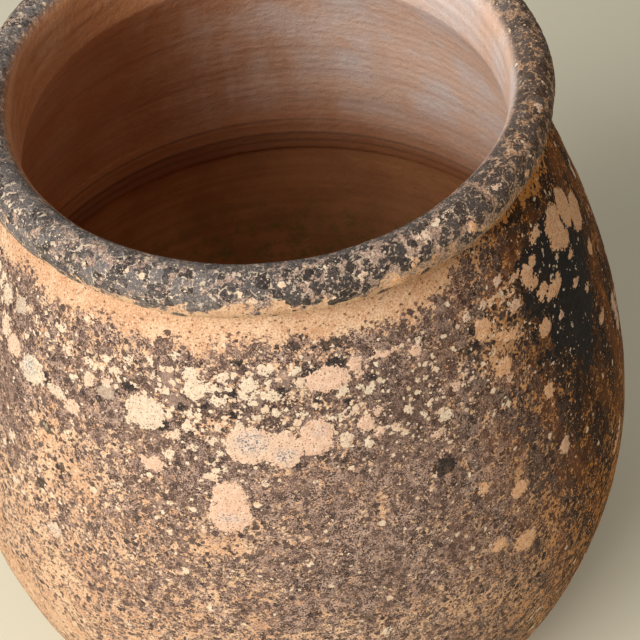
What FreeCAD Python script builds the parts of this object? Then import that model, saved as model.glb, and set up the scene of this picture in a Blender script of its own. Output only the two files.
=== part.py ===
"""Olive jar: a large egg-shaped terracotta storage jar with a rolled rim, in millimetres.

A jar of this size can't be thrown in one go. The potter cuts a base slab, presses a coil into its corner, and
raises the wall in stages, letting each one stiffen before the next is set on it. The top of every stage is
pinched to a low ridge, and the next stage is pressed over that ridge with slip, so that the two key together.
A collar closes the neck, and a thick coil rolled over its edge makes the rim. Each stage is a solid here.

The jar stands on the XY plane. Its axis is Z, and its origin is the centre of the underside.
"""
import os

import FreeCAD
import Part

# Overall form
jar_height = 800.0
belly_radius = 310.0
belly_height = 400.0
foot_radius = 155.0
shoulder_power = 1.8
foot_power = 1.9

# Base
slab_thickness = 24.0
foot_bevel = 6.0
corner_coil_leg = 22.0
corner_coil_hollow_share = 0.6

# Wall stages: thickness of each, from the foot up, and the joints between them as shares of the wall's height
foot_wall_thickness = 24.0
lower_wall_thickness = 20.0
belly_wall_thickness = 18.0
shoulder_wall_thickness = 23.0
upper_shoulder_thickness = 20.0
stage_joint_shares = (0.0, 0.2, 0.4, 0.6, 0.8, 1.0)

# Neck and rim
mouth_radius = 190.0
roll_width = 33.0
roll_height = 40.0
neck_height = 25.0
neck_flare = 8.5

# Luted joints
ridge_width = 8.0
ridge_height = 5.0

# Points that a curve of one stage is drawn through, and the printed volumes' unit
curve_points = 9
CUBIC_MM_PER_LITRE = 1e6

# Heights and radii that follow
roll_centre_radius = mouth_radius + roll_width / 2
roll_centre_height = jar_height - roll_height / 2
seat_height = jar_height - roll_height
collar_height = seat_height - neck_height
collar_radius = roll_centre_radius + neck_flare
AXIS_POINT = FreeCAD.Vector(0, 0, 0)
AXIS = FreeCAD.Vector(0, 0, 1)


def point(radius, height):
    """A point of a profile, drawn in the XZ plane."""
    return FreeCAD.Vector(radius, 0, height)


def outer_radius(height):
    """Radius of the outside: it falls away from the belly as a power of the distance, upwards and downwards."""
    if height >= belly_height:
        share = (height - belly_height) / (collar_height - belly_height)
        return belly_radius - (belly_radius - collar_radius) * share ** shoulder_power
    share = (belly_height - height) / belly_height
    return belly_radius - (belly_radius - foot_radius) * share ** foot_power


def outer_slope(height):
    """Change of the outside's radius with height, the derivative of outer_radius."""
    if height >= belly_height:
        rise = collar_height - belly_height
        share = (height - belly_height) / rise
        return -(belly_radius - collar_radius) * shoulder_power * share ** (shoulder_power - 1) / rise
    share = (belly_height - height) / belly_height
    return (belly_radius - foot_radius) * foot_power * share ** (foot_power - 1) / belly_height


def inner_radius(height, thickness):
    """Radius of the inside, for a wall of that thickness measured square to the outside."""
    return outer_radius(height) - thickness * (1 + outer_slope(height) ** 2) ** 0.5


def curve(radius_at, low, high):
    """A smooth edge through points of a radius formula, from one height to another."""
    step = (high - low) / (curve_points - 1)
    heights = [low + step * i for i in range(curve_points)]
    spline = Part.BSplineCurve()
    spline.interpolate([point(radius_at(h), h) for h in heights])
    return spline.toShape()


def polyline(*points):
    """Straight edges through points."""
    return [Part.makeLine(a, b) for a, b in zip(points, points[1:])]


def ridge_line(height, outside, inside):
    """The joint face of a stage from its outside to its inside, with the keying ridge halfway."""
    middle = (outside + inside) / 2
    half = ridge_width / 2
    return polyline(
        point(outside, height),
        point(middle + half, height),
        point(middle, height + ridge_height),
        point(middle - half, height),
        point(inside, height),
    )


def ridge_edges(height, outside, thickness, neighbour_thickness):
    """A stage's joint face, with the ridge halfway across the part where it meets its neighbour's wall."""
    own = inner_radius(height, thickness)
    meeting = max(own, inner_radius(height, neighbour_thickness))
    edges = ridge_line(height, outside, meeting)
    if meeting > own:
        edges += polyline(point(meeting, height), point(own, height))
    return edges


def turned(edges):
    """A solid of revolution about the jar's axis from the edges of a closed profile."""
    wire = Part.Wire(Part.__sortEdges__(edges))
    return Part.Face(wire).revolve(AXIS_POINT, AXIS, 360)


def base_slab():
    """Disc that the jar stands on, bevelled at the foot, with the first ridge on its top."""
    rim = outer_radius(slab_thickness)
    inside = inner_radius(slab_thickness, foot_wall_thickness)
    edges = polyline(
        point(0, slab_thickness),
        point(0, 0),
        point(outer_radius(foot_bevel) - foot_bevel, 0),
        point(outer_radius(foot_bevel), foot_bevel),
    )
    edges.append(curve(outer_radius, foot_bevel, slab_thickness))
    edges += ridge_line(slab_thickness, rim, inside)
    edges += polyline(point(inside, slab_thickness), point(0, slab_thickness))
    return turned(edges)


def corner_coil():
    """Coil pressed into the corner between the slab and the first stage, smoothed to a hollow curve."""
    top = slab_thickness + corner_coil_leg

    def wall(height):
        return inner_radius(height, foot_wall_thickness)

    corner = point(wall(slab_thickness), slab_thickness)
    upper = point(wall(top), top)
    lower = point(wall(slab_thickness) - corner_coil_leg, slab_thickness)
    hollow = corner + ((upper + lower) / 2 - corner) * corner_coil_hollow_share
    edges = [curve(wall, slab_thickness, top), Part.Arc(upper, hollow, lower).toShape()]
    edges += polyline(lower, corner)
    return turned(edges)


def wall_stage(low, high, below, thickness, above, break_height=None):
    """One stage of the wall between two joints, given its own thickness and those of its neighbours.

    break_height splits the inside's edge where another piece ends against it.
    """

    def inside(height):
        return inner_radius(height, thickness)

    edges = [curve(outer_radius, low, high)]
    edges += ridge_edges(high, outer_radius(high), thickness, above)
    edges += ridge_edges(low, outer_radius(low), thickness, below)
    stops = [low, high] if break_height is None else [low, break_height, high]
    edges += [curve(inside, a, b) for a, b in zip(stops, stops[1:])]
    return turned(edges)


def neck_collar():
    """Short ring that turns the shoulder up into the neck, hollow outside and nearly plumb inside."""
    inside = inner_radius(collar_height, upper_shoulder_thickness)
    hollow = Part.BSplineCurve()
    hollow.interpolate(
        Points=[point(collar_radius, collar_height), point(roll_centre_radius, seat_height)],
        InitialTangent=point(outer_slope(collar_height), 1) * neck_height,
        FinalTangent=AXIS * neck_height,
    )
    edges = [hollow.toShape()]
    edges += ridge_line(seat_height, roll_centre_radius, mouth_radius)
    edges += polyline(point(mouth_radius, seat_height), point(inside, collar_height))
    edges += ridge_line(collar_height, collar_radius, inside)
    return turned(edges)


def quarter(ellipse, start, end):
    """The shorter arc of an ellipse between two of its points."""
    ends = ellipse.parameter(start), ellipse.parameter(end)
    arcs = [Part.ArcOfEllipse(ellipse, a, b) for a, b in (ends, ends[::-1])]
    return min(arcs, key=lambda arc: arc.length()).toShape()


def rim_roll():
    """Coil rolled over the neck's edge: plumb inside below its middle, and an ellipse everywhere else."""
    centre = point(roll_centre_radius, roll_centre_height)
    top = point(roll_centre_radius, jar_height)
    side = point(mouth_radius + roll_width, roll_centre_height)
    bottom = point(roll_centre_radius, seat_height)
    inside = point(mouth_radius, roll_centre_height)
    longer, shorter = (top, side) if roll_height >= roll_width else (side, top)
    ellipse = Part.Ellipse(longer, shorter, centre)
    corners = (inside, top, side, bottom)
    edges = [quarter(ellipse, a, b) for a, b in zip(corners, corners[1:])]
    edges += ridge_line(seat_height, roll_centre_radius, mouth_radius)
    edges += polyline(point(mouth_radius, seat_height), inside)
    return turned(edges)


def wall_stages():
    """The five wall stages by name, from the foot up."""
    names = ("foot_wall", "lower_wall", "belly_wall", "shoulder_wall", "upper_shoulder_wall")
    walls = (
        foot_wall_thickness,
        lower_wall_thickness,
        belly_wall_thickness,
        shoulder_wall_thickness,
        upper_shoulder_thickness,
    )
    rise = collar_height - slab_thickness
    joints = [slab_thickness + share * rise for share in stage_joint_shares]
    stages = {}
    for i, name in enumerate(names):
        below = walls[max(i - 1, 0)]
        above = walls[min(i + 1, len(walls) - 1)]
        coil_top = slab_thickness + corner_coil_leg if i == 0 else None
        stages[name] = wall_stage(joints[i], joints[i + 1], below, walls[i], above, coil_top)
    return stages


def main():
    pieces = {"base_slab": base_slab(), "corner_coil": corner_coil()}
    pieces.update(wall_stages())
    pieces.update({"neck_collar": neck_collar(), "rim_roll": rim_roll()})
    os.makedirs("parts", exist_ok=True)
    for name, shape in pieces.items():
        solid = shape if shape.ShapeType == "Solid" else Part.Solid(shape)
        solid.exportStep(os.path.join("parts", name + ".step"))
        box = solid.BoundBox
        print(f"{name}: z {box.ZMin:.1f} to {box.ZMax:.1f}, radius {box.XMax:.1f}, "
              f"{solid.Volume / CUBIC_MM_PER_LITRE:.2f} l, valid {solid.isValid()}")


main()
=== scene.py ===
# %% [markdown]
# # A weathered olive jar
#
# The real thing is a big terracotta jar, raised in stages from a slab, a corner coil, five rings of wall, a
# collar and a rolled rim. Decades outdoors have given it a grey-brown skin, charcoal crust on the rim and
# pale rosettes of lichen on the shoulder. The CAD frame fixes where every stage begins and ends. This lesson
# gives those stages their hand-made surface and their colours. We start by loading the frame.

# %% Load the imported jar
import math

import bpy
import numpy as np
from mathutils import Matrix, Vector


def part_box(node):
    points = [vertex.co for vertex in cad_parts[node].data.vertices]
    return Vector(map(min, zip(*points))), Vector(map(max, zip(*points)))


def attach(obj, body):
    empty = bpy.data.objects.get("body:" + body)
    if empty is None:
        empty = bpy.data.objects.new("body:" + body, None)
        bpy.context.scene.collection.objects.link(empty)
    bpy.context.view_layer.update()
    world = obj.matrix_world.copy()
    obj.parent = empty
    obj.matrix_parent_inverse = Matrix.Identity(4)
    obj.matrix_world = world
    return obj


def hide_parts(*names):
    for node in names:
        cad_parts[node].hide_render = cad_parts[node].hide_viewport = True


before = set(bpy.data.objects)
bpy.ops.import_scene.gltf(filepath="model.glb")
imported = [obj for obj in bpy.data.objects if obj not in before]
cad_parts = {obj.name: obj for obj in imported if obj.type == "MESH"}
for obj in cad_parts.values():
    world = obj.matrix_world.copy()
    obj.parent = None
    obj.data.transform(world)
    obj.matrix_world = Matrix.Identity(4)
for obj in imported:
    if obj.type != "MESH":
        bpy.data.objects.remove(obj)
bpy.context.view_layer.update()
print("stages in the frame:", ", ".join(sorted(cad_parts)))

# %% [markdown]
# ## Sizes
#
# Every height of a joint and every outer radius is read from the frame, so the looks can't drift from the
# solids. The few values that a bounding box can't tell, such as the curve of the shoulder, are named here in
# metres.

# %% Read the joints and radii, and name the rest
MM = 0.001
WALL_STAGES = ("foot_wall", "lower_wall", "belly_wall", "shoulder_wall", "upper_shoulder_wall")
stage_low = {name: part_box(name)[0].z for name in WALL_STAGES}
stage_low["neck_collar"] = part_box("neck_collar")[0].z
slab_top = stage_low["foot_wall"]
collar_low = stage_low["neck_collar"]
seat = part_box("rim_roll")[0].z
jar_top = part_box("rim_roll")[1].z
seam_height = stage_low["shoulder_wall"]
coil_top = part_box("corner_coil")[1].z
rim_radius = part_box("rim_roll")[1].x
collar_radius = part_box("neck_collar")[1].x
belly_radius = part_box("belly_wall")[1].x

belly_height = 400 * MM
foot_radius = 155 * MM
foot_bevel = 6 * MM
shoulder_power = 1.8
foot_power = 1.9
roll_half_width = 16.5 * MM
roll_half_height = (jar_top - seat) / 2
roll_centre = rim_radius - roll_half_width
mouth_radius = roll_centre - roll_half_width
lower_thickness = {"foot_wall": 24 * MM, "lower_wall": 20 * MM, "belly_wall": 18 * MM}
upper_thickness = {"shoulder_wall": 23 * MM, "upper_shoulder_wall": 20 * MM}
ridge_half_width = 4 * MM
ridge_height = 5 * MM
print(f"jar {jar_top:.3f} m high, belly {2 * belly_radius:.3f} m, rim {2 * rim_radius:.3f} m across")

# %% [markdown]
# ## Camera
#
# The photo looks down over the near edge of the rim with a long lens. A fit of the rim's ellipse, the crease
# below it and both outlines gave the place of the lens, its three angles and its focal length in pixels. A
# camera's axes can be written down directly: forward from pitch and yaw, right and up at right angles to it,
# then a small roll.

# %% Place the camera
PHOTO_PIXELS = 640
focal_pixels = 1500
camera_place = Vector((0.0, -0.880, 1.540))
camera_pitch = math.radians(49.78)
camera_yaw = math.radians(1.98)
camera_roll = math.radians(-5.07)
SENSOR = 36.0

forward = Vector((
    math.sin(camera_yaw) * math.cos(camera_pitch),
    math.cos(camera_yaw) * math.cos(camera_pitch),
    -math.sin(camera_pitch),
))
level_right = Vector((math.cos(camera_yaw), -math.sin(camera_yaw), 0))
level_up = level_right.cross(forward)
right = level_right * math.cos(camera_roll) + level_up * math.sin(camera_roll)
up = level_up * math.cos(camera_roll) - level_right * math.sin(camera_roll)

camera_data = bpy.data.cameras.new("camera")
camera_data.sensor_width = SENSOR
camera_data.lens = SENSOR * focal_pixels / PHOTO_PIXELS
camera_data.clip_start = 0.05
camera = bpy.data.objects.new("camera", camera_data)
bpy.context.scene.collection.objects.link(camera)
axes = Matrix((right, up, -forward)).transposed()
camera.matrix_world = Matrix.Translation(camera_place) @ axes.to_4x4()
bpy.context.scene.camera = camera
print(f"lens {camera_data.lens:.1f} mm, {camera_place.length:.2f} m from the foot's centre")

# %% [markdown]
# ## Noise on whole arrays
#
# Hand work and weather are uneven at every scale. A lattice of repeatable random numbers, blended smoothly,
# gives that unevenness. Blender has noise of its own, but it is called once per point. Written with numpy it
# answers for all points of the jar in one go, and the integer mixing makes it the same in each run.

# %% Lattice noise and cell noise
def lattice(cells, seed):
    """One number from 0 to 1 per lattice point: its three indices and the seed, mixed as whole numbers."""
    index = cells.astype(np.int64).astype(np.uint32)
    mixed = index[..., 0] * np.uint32(0x8DA6B343)
    mixed ^= index[..., 1] * np.uint32(0xD8163841)
    mixed ^= index[..., 2] * np.uint32(0xCB1AB31F)
    mixed ^= np.uint32((seed * 0x9E3779B1) & 0xFFFFFFFF)
    for shift, factor in ((15, 0x2C1B3C6D), (12, 0x297A2D39), (15, 1)):
        mixed ^= mixed >> np.uint32(shift)
        mixed *= np.uint32(factor)
    return mixed.astype(np.float32) / np.float32(2**32)


def value_noise(points, size, seed):
    """Smooth noise from -1 to 1: lattice values that far apart, blended along each axis by 3t^2 - 2t^3."""
    place = points / size
    base = np.floor(place)
    blend = place - base
    blend = blend * blend * (3 - 2 * blend)
    total = np.zeros(points.shape[:-1])
    for corner in np.ndindex(2, 2, 2):
        weight = np.prod(np.where(corner, blend, 1 - blend), axis=-1)
        total += weight * lattice(base + corner, seed)
    return 2 * total - 1


def layered_noise(points, size, seed, layers=3):
    """Value noise in layers, each half as large and strong as the one before, scaled back to about 1."""
    total = 0
    for k in range(layers):
        total = total + value_noise(points, size / 2**k, seed + k) / 2**k
    return total / (2 - 2 ** (1 - layers))


def disc_distance(points, size, least, most, seed):
    """Depth of a point in the nearest ball, negative outside: one ball of random radius per lattice cell."""
    place = (points / size).astype(np.float32)
    base = np.floor(place)
    depth = np.full(points.shape[:-1], -1.0, np.float32)
    for step in np.ndindex(3, 3, 3):
        cell = base + step - 1
        centre = cell + np.stack([lattice(cell, seed + k) for k in range(3)], -1)
        radius = least + (most - least) * lattice(cell, seed + 3)
        depth = np.maximum(depth, radius - np.linalg.norm(place - centre, axis=-1))
    return depth * size


def smooth_step(value, low, high):
    """0 below low, 1 above high, and 3t^2 - 2t^3 between."""
    t = np.clip((value - low) / (high - low), 0, 1)
    return t * t * (3 - 2 * t)


probe = np.random.default_rng(1).uniform(-1, 1, (2000, 3))
print(f"noise spans {value_noise(probe, 0.1, 5).min():.2f} to {value_noise(probe, 0.1, 5).max():.2f}")

# %% [markdown]
# ## One skin for the whole jar
#
# A turned pot is a curve carried round an axis. We walk that curve once: out along the underside, up the
# outside, over the roll, down the inside and back to the middle of the floor. Each stage owns one or two
# stretches of the walk. If every stage were modelled by itself, its neighbours would meet in visible lines.
# Cut from one skin, two stages share the very same points along a joint, so the jar looks whole and is still
# made of its stages.

# %% Radii of the wall
def outer_radius(z):
    """Outside of the wall: away from the belly, the radius falls as a power of the distance, up and down."""
    above = np.clip((z - belly_height) / (collar_low - belly_height), 0, None)
    below = np.clip((belly_height - z) / belly_height, 0, None)
    fall_above = (belly_radius - collar_radius) * above**shoulder_power
    fall_below = (belly_radius - foot_radius) * below**foot_power
    return belly_radius - fall_above - fall_below


joint_heights = list(stage_low.values())
stage_middle = {name: (joint_heights[k] + joint_heights[k + 1]) / 2 for k, name in enumerate(WALL_STAGES)}


def wall_thickness(z):
    """Thickness between the middles of the stages in straight lines, with one step at the seam inside."""
    below = np.interp(z, [stage_middle[n] for n in lower_thickness], list(lower_thickness.values()))
    above = np.interp(z, [stage_middle[n] for n in upper_thickness], list(upper_thickness.values()))
    return np.where(z > seam_height, above, below)


def inner_radius(z):
    """Inside of the wall: the outside less the thickness, measured square to the outside."""
    slope = (outer_radius(z + MM) - outer_radius(z - MM)) / (2 * MM)
    return outer_radius(z) - wall_thickness(z) * np.sqrt(1 + slope**2)


def inner_point(z):
    """Radius and height of one point of the inside."""
    return float(inner_radius(np.array(z))), z


print(f"wall {wall_thickness(belly_height) / MM:.1f} mm thick at the belly")

# %% [markdown]
# The walk is put together from a few kinds of stretch. Each function returns its points as columns of radius
# and height, close enough together for the relief that comes later.

# %% Kinds of stretch
def line(start, end, spacing):
    """Points of a straight stretch, at most that far apart."""
    count = max(2, int(np.ceil(math.dist(start, end) / spacing)) + 1)
    return np.linspace(start, end, count)


def wall_line(radius_at, low, high, spacing):
    """Points of a wall stretch from one height to another: a radius formula at evenly spaced heights."""
    z = np.linspace(low, high, int(np.ceil(abs(high - low) / spacing)) + 1)
    return np.column_stack([radius_at(z), z])


def collar_outside(spacing):
    """The hollow under the roll: a cubic that leaves along the shoulder's slope and ends plumb."""
    slope = (outer_radius(collar_low) - outer_radius(collar_low - MM)) / MM
    t = np.linspace(0, 1, int(np.ceil((seat - collar_low) / spacing)) + 1)
    start_weight = 2 * t**3 - 3 * t**2 + 1
    leave_weight = t**3 - 2 * t**2 + t
    radius = start_weight * collar_radius + (1 - start_weight) * roll_centre
    radius = radius + leave_weight * slope * (seat - collar_low)
    return np.column_stack([radius, collar_low + t * (seat - collar_low)])


def roll_curve(spacing):
    """The roll from its seat round the outside to its inner side: three quarters of an ellipse."""
    turn = np.linspace(-np.pi / 2, np.pi, int(1.5 * np.pi * roll_half_height / spacing))
    radius = roll_centre + roll_half_width * np.cos(turn)
    return np.column_stack([radius, seat + roll_half_height * (1 + np.sin(turn))])


def coil_curve(count):
    """The smoothed coil: a quadratic curve from wall to floor, its handle eight tenths into the corner."""
    leg = coil_top - slab_top
    corner = np.array(inner_point(slab_top))
    top = np.array(inner_point(coil_top))
    toe = corner - (leg, 0)
    handle = 0.8 * corner + 0.1 * (top + toe)
    t = np.linspace(0, 1, count)[:, None]
    return (1 - t) ** 2 * top + 2 * t * (1 - t) * handle + t**2 * toe


print(f"the way round the roll is about {len(roll_curve(MM))} mm")

# %% [markdown]
# Where the photo looks closely, the rows lie about two millimetres apart, so that single rosettes can stand
# up from the wall. The foot and the hidden inside make do with fewer. The seam's ledge joins
# two radii, so the inside is read a hair above the seam and a hair below it.

# %% The walk from the underside to the floor
floor_spacing = 9 * MM
bevel_spacing = 2 * MM
slab_spacing = 3 * MM
outside_spacing = (4 * MM, 4 * MM, 2.6 * MM, 2.3 * MM, 2.2 * MM)
inside_spacing = (8 * MM, 8 * MM, 5 * MM, 3.8 * MM, 3.8 * MM)
collar_spacing = 1.3 * MM
roll_spacing = 1.2 * MM
mouth_spacing = 2 * MM
collar_inside_spacing = 3 * MM
ledge_spacing = 1.5 * MM
coil_points = 9
hair = 1e-6

foot_edge = float(outer_radius(np.array(foot_bevel)))
bevel_edge = foot_edge - foot_bevel
walk = [
    ("base_slab", line((0, 0), (bevel_edge, 0), floor_spacing)),
    ("base_slab", line((bevel_edge, 0), (foot_edge, foot_bevel), bevel_spacing)),
    ("base_slab", wall_line(outer_radius, foot_bevel, slab_top, slab_spacing)),
]
for k, name in enumerate(WALL_STAGES):
    walk.append((name, wall_line(outer_radius, joint_heights[k], joint_heights[k + 1], outside_spacing[k])))
mouth_low = (mouth_radius, seat)
mouth_high = (mouth_radius, seat + roll_half_height)
walk.append(("neck_collar", collar_outside(collar_spacing)))
walk.append(("rim_roll", roll_curve(roll_spacing)))
walk.append(("rim_roll", line(mouth_high, mouth_low, mouth_spacing)))
walk.append(("neck_collar", line(mouth_low, inner_point(collar_low), collar_inside_spacing)))
for k, name in reversed(list(enumerate(WALL_STAGES))):
    above_ledge = name == "shoulder_wall"
    low = coil_top if k == 0 else joint_heights[k]
    low = low + hair if above_ledge else low
    walk.append((name, wall_line(inner_radius, joint_heights[k + 1], low, inside_spacing[k])))
    if above_ledge:
        ledge_inside = (inner_point(low)[0], seam_height)
        ledge_outside = (inner_point(seam_height - hair)[0], seam_height)
        walk.append((name, line(ledge_inside, ledge_outside, ledge_spacing)))
walk.append(("corner_coil", coil_curve(coil_points)))
toe_radius = walk[-1][1][-1, 0]
walk.append(("base_slab", line((toe_radius, slab_top), (0, slab_top), floor_spacing)))
print(f"{len(walk)} stretches on the walk")

# %% [markdown]
# Now the stretches are joined to one profile, without the point that two neighbours share. For each stage we
# note the first and last row of every stretch that it owns.

# %% Join the stretches
profile = [walk[0][1]]
stretch_rows = {name: [] for name, _ in walk}
first = 0
for name, points in walk:
    last = first + len(points) - 1
    if first:
        profile.append(points[1:])
    ranges = stretch_rows[name]
    if ranges and ranges[-1][1] == first:
        ranges[-1] = (ranges[-1][0], last)
    else:
        ranges.append((first, last))
    first = last
profile = np.concatenate(profile)
print(f"{len(profile)} rows on the walk; the roll owns", stretch_rows["rim_roll"])

# %% [markdown]
# ## The plain grid
#
# Radius and height become a grid of points by turning the profile round the axis. `turn` is the angle from
# the side that faces the camera, in degrees, positive to the right, which is easy to read off the photo.
# `side` says whether a row lies outside or inside, going smoothly from 0 to 1 over the inner half of the
# roll.

# %% Turn the profile into a grid
COLUMNS = 840
inner_from = 9 * MM
inner_to = 21 * MM
angle = np.arange(COLUMNS) * 2 * np.pi / COLUMNS
row_radius, row_height = profile.T
along = np.concatenate([[0], np.cumsum(np.hypot(np.diff(row_radius), np.diff(row_height)))])
slope_radius = np.gradient(row_radius, along)
slope_height = np.gradient(row_height, along)
slope_length = np.hypot(slope_radius, slope_height)
normal_radius = slope_height / slope_length
normal_height = -slope_radius / slope_length

round_x = np.cos(angle)
round_y = np.sin(angle)
plain = np.empty((len(profile), COLUMNS, 3))
plain[..., 0] = row_radius[:, None] * round_x
plain[..., 1] = row_radius[:, None] * round_y
plain[..., 2] = row_height[:, None]
turn = np.degrees(np.arctan2(round_x, -round_y))
roll_first, roll_last = stretch_rows["rim_roll"][0]
crest = roll_first + int(np.argmax(row_height[roll_first:roll_last]))
row_number = np.arange(len(profile))
past_crest = np.where(row_number > crest, along - along[crest], 0)
side = smooth_step(past_crest, inner_from, inner_to)
outside = slice(stretch_rows["foot_wall"][0][0], roll_last + 1)
print(f"{plain.shape[0] * plain.shape[1]} points, crest of the roll at row {crest}")

# %% [markdown]
# ## Patches of lichen and soot
#
# The largest rosettes on the shoulder are what a person would recognise this jar by, so their places are
# listed one by one: turn in degrees, height, half width and half height in millimetres, and a tone. Tone 0 is
# cream, 0.5 peach, 1 dull tan, and below 0 it turns grey. Each patch is stored as a distance to its edge in
# millimetres, positive inside. The material later adds fine noise to that distance, which gives lobed edges
# much finer than the mesh.

# %% Places of the patches
PALE_PATCHES = (
    # big rosettes at the front
    (-26.6, 677, 16, 14, -0.25), (-8.5, 661.5, 17, 16, 0.35), (-3, 655.5, 15, 15, 0.4),
    (2.8, 662.5, 13, 15, 0.5), (-12.3, 602, 17, 16, 0.55), (-12.2, 620, 13, 13, 0.55),
    (-15.2, 635, 6, 3, 0.3), (6, 705, 16, 10, 0.45), (11.3, 708, 5, 8, 0.45), (-25, 636, 9, 6, 0.5),
    (11.4, 666, 5.5, 8, 0.5), (13.6, 671, 3.5, 3.5, 0.5), (13.5, 657, 4, 3, 0.45),
    (17, 710.6, 11, 2.4, 0.45), (22.8, 637, 7, 3, 0.5), (9, 677, 5, 2.5, 0.3),
    # cream clusters below the neck
    (-18.3, 711, 7, 5, 0), (-17.7, 699, 8, 9, 0.1), (-12.6, 712, 4.5, 4.5, 0), (-14.5, 703, 9, 3, 0.05),
    (-13.7, 693, 5.5, 4, 0), (-8, 706, 6, 7, 0.05), (-5.2, 714.5, 5, 4, 0), (-8.6, 698, 6, 2.6, 0),
    (-3.8, 697.5, 6.5, 4, 0.1), (-7, 683.5, 4.5, 3, 0), (-10.2, 677, 3.5, 3.5, 0),
    (-18.6, 670.5, 4.5, 4.5, 0.1), (-18.8, 683, 4, 3, 0.1), (-23.7, 695.5, 4, 2.5, 0),
    (-22.3, 647.5, 4.5, 4.5, 0.15), (-6.1, 629, 3, 2, 0.2), (7.6, 657.5, 5, 5, 0.25),
    (6.3, 676, 3.5, 2.2, 0), (8.2, 694, 4, 4, 0.1), (11.5, 692.5, 3, 3, 0), (12.5, 690, 3, 3, 0),
    (11.3, 650, 3, 4, 0.1), (0.3, 714, 4, 3, 0.05), (1, 705, 4, 4, 0.2), (-1.7, 687, 3, 3, 0.1),
    (-3.6, 685.5, 3, 3, 0), (0.8, 683, 3, 1.8, 0), (-7.5, 693, 3, 3, 0), (-4.7, 706.5, 2.5, 2.5, 0),
    (-26, 714.5, 3, 3, 0), (-25.5, 703.5, 3.5, 3, 0), (-21.3, 722.5, 3, 2, 0),
    (-14.6, 645.5, 2.6, 2.6, 0), (-12.8, 642, 2.6, 2.6, 0), (-13.3, 655, 2.6, 2.6, 0),
    (-18, 656.5, 4, 2.2, 0.1), (-14.5, 662, 5, 2.2, 0.1), (-13.4, 673, 3, 3, 0), (23, 704, 5, 4, 0.6),
    (24, 710, 2.5, 2, 0), (-30.5, 712, 4, 3, 0.1), (-33, 700, 4, 3, 0.2), (-29.5, 664, 4, 3, 0.2),
    (-21.5, 662, 5, 3, 0.3),
    # left shoulder
    (-51.5, 662, 14, 12, -0.2), (-57.5, 668, 9, 9, 0.5), (-57.7, 703, 7, 8, -0.6),
    (-62.5, 698, 6, 9, -0.3), (-61, 675, 6, 11, 0.3), (-34.4, 680, 8, 5, -1), (-45, 660, 8, 5, -0.3),
    (-41, 657, 8, 6, 0.5), (-46.4, 625, 2.4, 2, 0), (-48.8, 698, 4, 2.2, 0),
    (-54.9, 591.5, 4.5, 5, 0.2), (-43.6, 530.5, 7.5, 7, 0.3), (-53.2, 550, 4, 4, 0.2),
    (-56.8, 577, 2.6, 2.6, 0), (-46, 712, 5, 3, 0.1), (-43.5, 698, 7, 3, 0.3), (-38.2, 684, 5, 6, 0.35),
    (-34.5, 689.5, 4, 4, 0.35), (-38.5, 697, 4, 3, 0.1), (-35, 706, 3, 3, 0),
    # right of the front
    (25.4, 646.4, 5.6, 4.9, 0), (36.9, 690.5, 8, 8.5, 0.85), (41.7, 704.5, 8, 2.5, 0.7),
    (47.7, 703.6, 11, 3, 0.7), (45.5, 686, 7, 4, 0.65), (43, 697.5, 4, 2.5, 0.7),
    (46.4, 697, 4, 3, 0.7), (42.7, 671, 8, 4, 0.9), (40.4, 675, 5, 3, 0.9), (44.6, 666, 5, 3, 0.9),
    (38.6, 654.6, 9, 7, 0.8), (39, 644, 5, 3, 0.6), (37.5, 669.5, 2.5, 2.5, 0),
    (34.6, 706, 3.5, 3.5, 0.3), (38.8, 705.5, 4, 3, 0.4), (44, 713.5, 4, 4, 0.5),
    (35.5, 543.5, 9, 7, 0.75), (46.9, 541.7, 7, 8, 0.65), (28.8, 570.6, 6, 5, 0.75),
    (34.9, 487.5, 12, 10, 0.75), (29.9, 503, 8, 6, 0.75), (28.5, 665.5, 4, 4, 0.4),
    (31.5, 663, 3, 3, 0.4), (30.7, 670, 3, 3, 0.4), (16.3, 656.5, 3.5, 3, 0.3),
    (46.6, 604.7, 6, 9, 0.9), (19, 664, 3, 3, 0.2), (21.5, 657, 2.6, 2.4, 0.1),
    # far right, on the black
    (65.5, 700, 16, 10, 0.9), (65, 686, 15, 11, 0.9), (66.5, 676, 10, 7, 0.9), (72, 690, 13, 18, 0.9),
    (76, 668, 16, 16, 0.9), (75.3, 631, 7, 7, 0.9), (57, 664, 13, 7, 0.85), (53.6, 673, 8, 6, 0.85),
    (51.3, 696, 8, 9, 0.8), (52.2, 686, 7, 5, 0.8), (53.9, 699, 6, 5, 0.8), (50.5, 650, 8, 8, 0.9),
    (58, 711.5, 8, 5, 0.95), (56, 642, 3.5, 3, 0.6), (64, 642.7, 6, 4, 0.7), (66.4, 662.5, 5, 3, 0.8),
    (66.9, 623, 5, 3, 0.7), (68.6, 582, 8, 5, 0.9),
    # crumbs on the black
    (57.7, 696.6, 1.6, 2.4, 0), (56.9, 688.7, 1.6, 1.6, 0), (55, 685.8, 1.6, 1.4, 0),
    (61.6, 678, 2, 1.6, 0.3), (59.6, 677, 1.6, 2, 0.3), (57.7, 674.7, 2.2, 1.6, 0.2),
    (59.4, 654.6, 1.6, 1.6, 0), (53.6, 650, 1.4, 1.6, 0), (65.8, 649, 1.6, 2, 0.3),
    (55, 610, 1.6, 1.4, 0), (57.7, 624, 1.2, 1.8, 0),
    # flakes on the roll
    (27.8, 798, 4, 3, 0.3), (20.5, 776, 9, 5, 0.85), (23.8, 786, 3, 4, 0.7), (37.2, 787, 3, 6, 0.8),
    (39.6, 782, 3, 4, 0.85), (30.5, 799.3, 6, 1.4, 0), (33.5, 799.7, 5, 1.2, 0), (69, 798.5, 4, 3, 0.6),
    (54.5, 786, 3, 3, 0.7), (46, 797, 3, 2, 0.4), (14, 792, 3, 3, 0.3), (-5.5, 786, 3, 2.5, 0.3),
)
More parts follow.
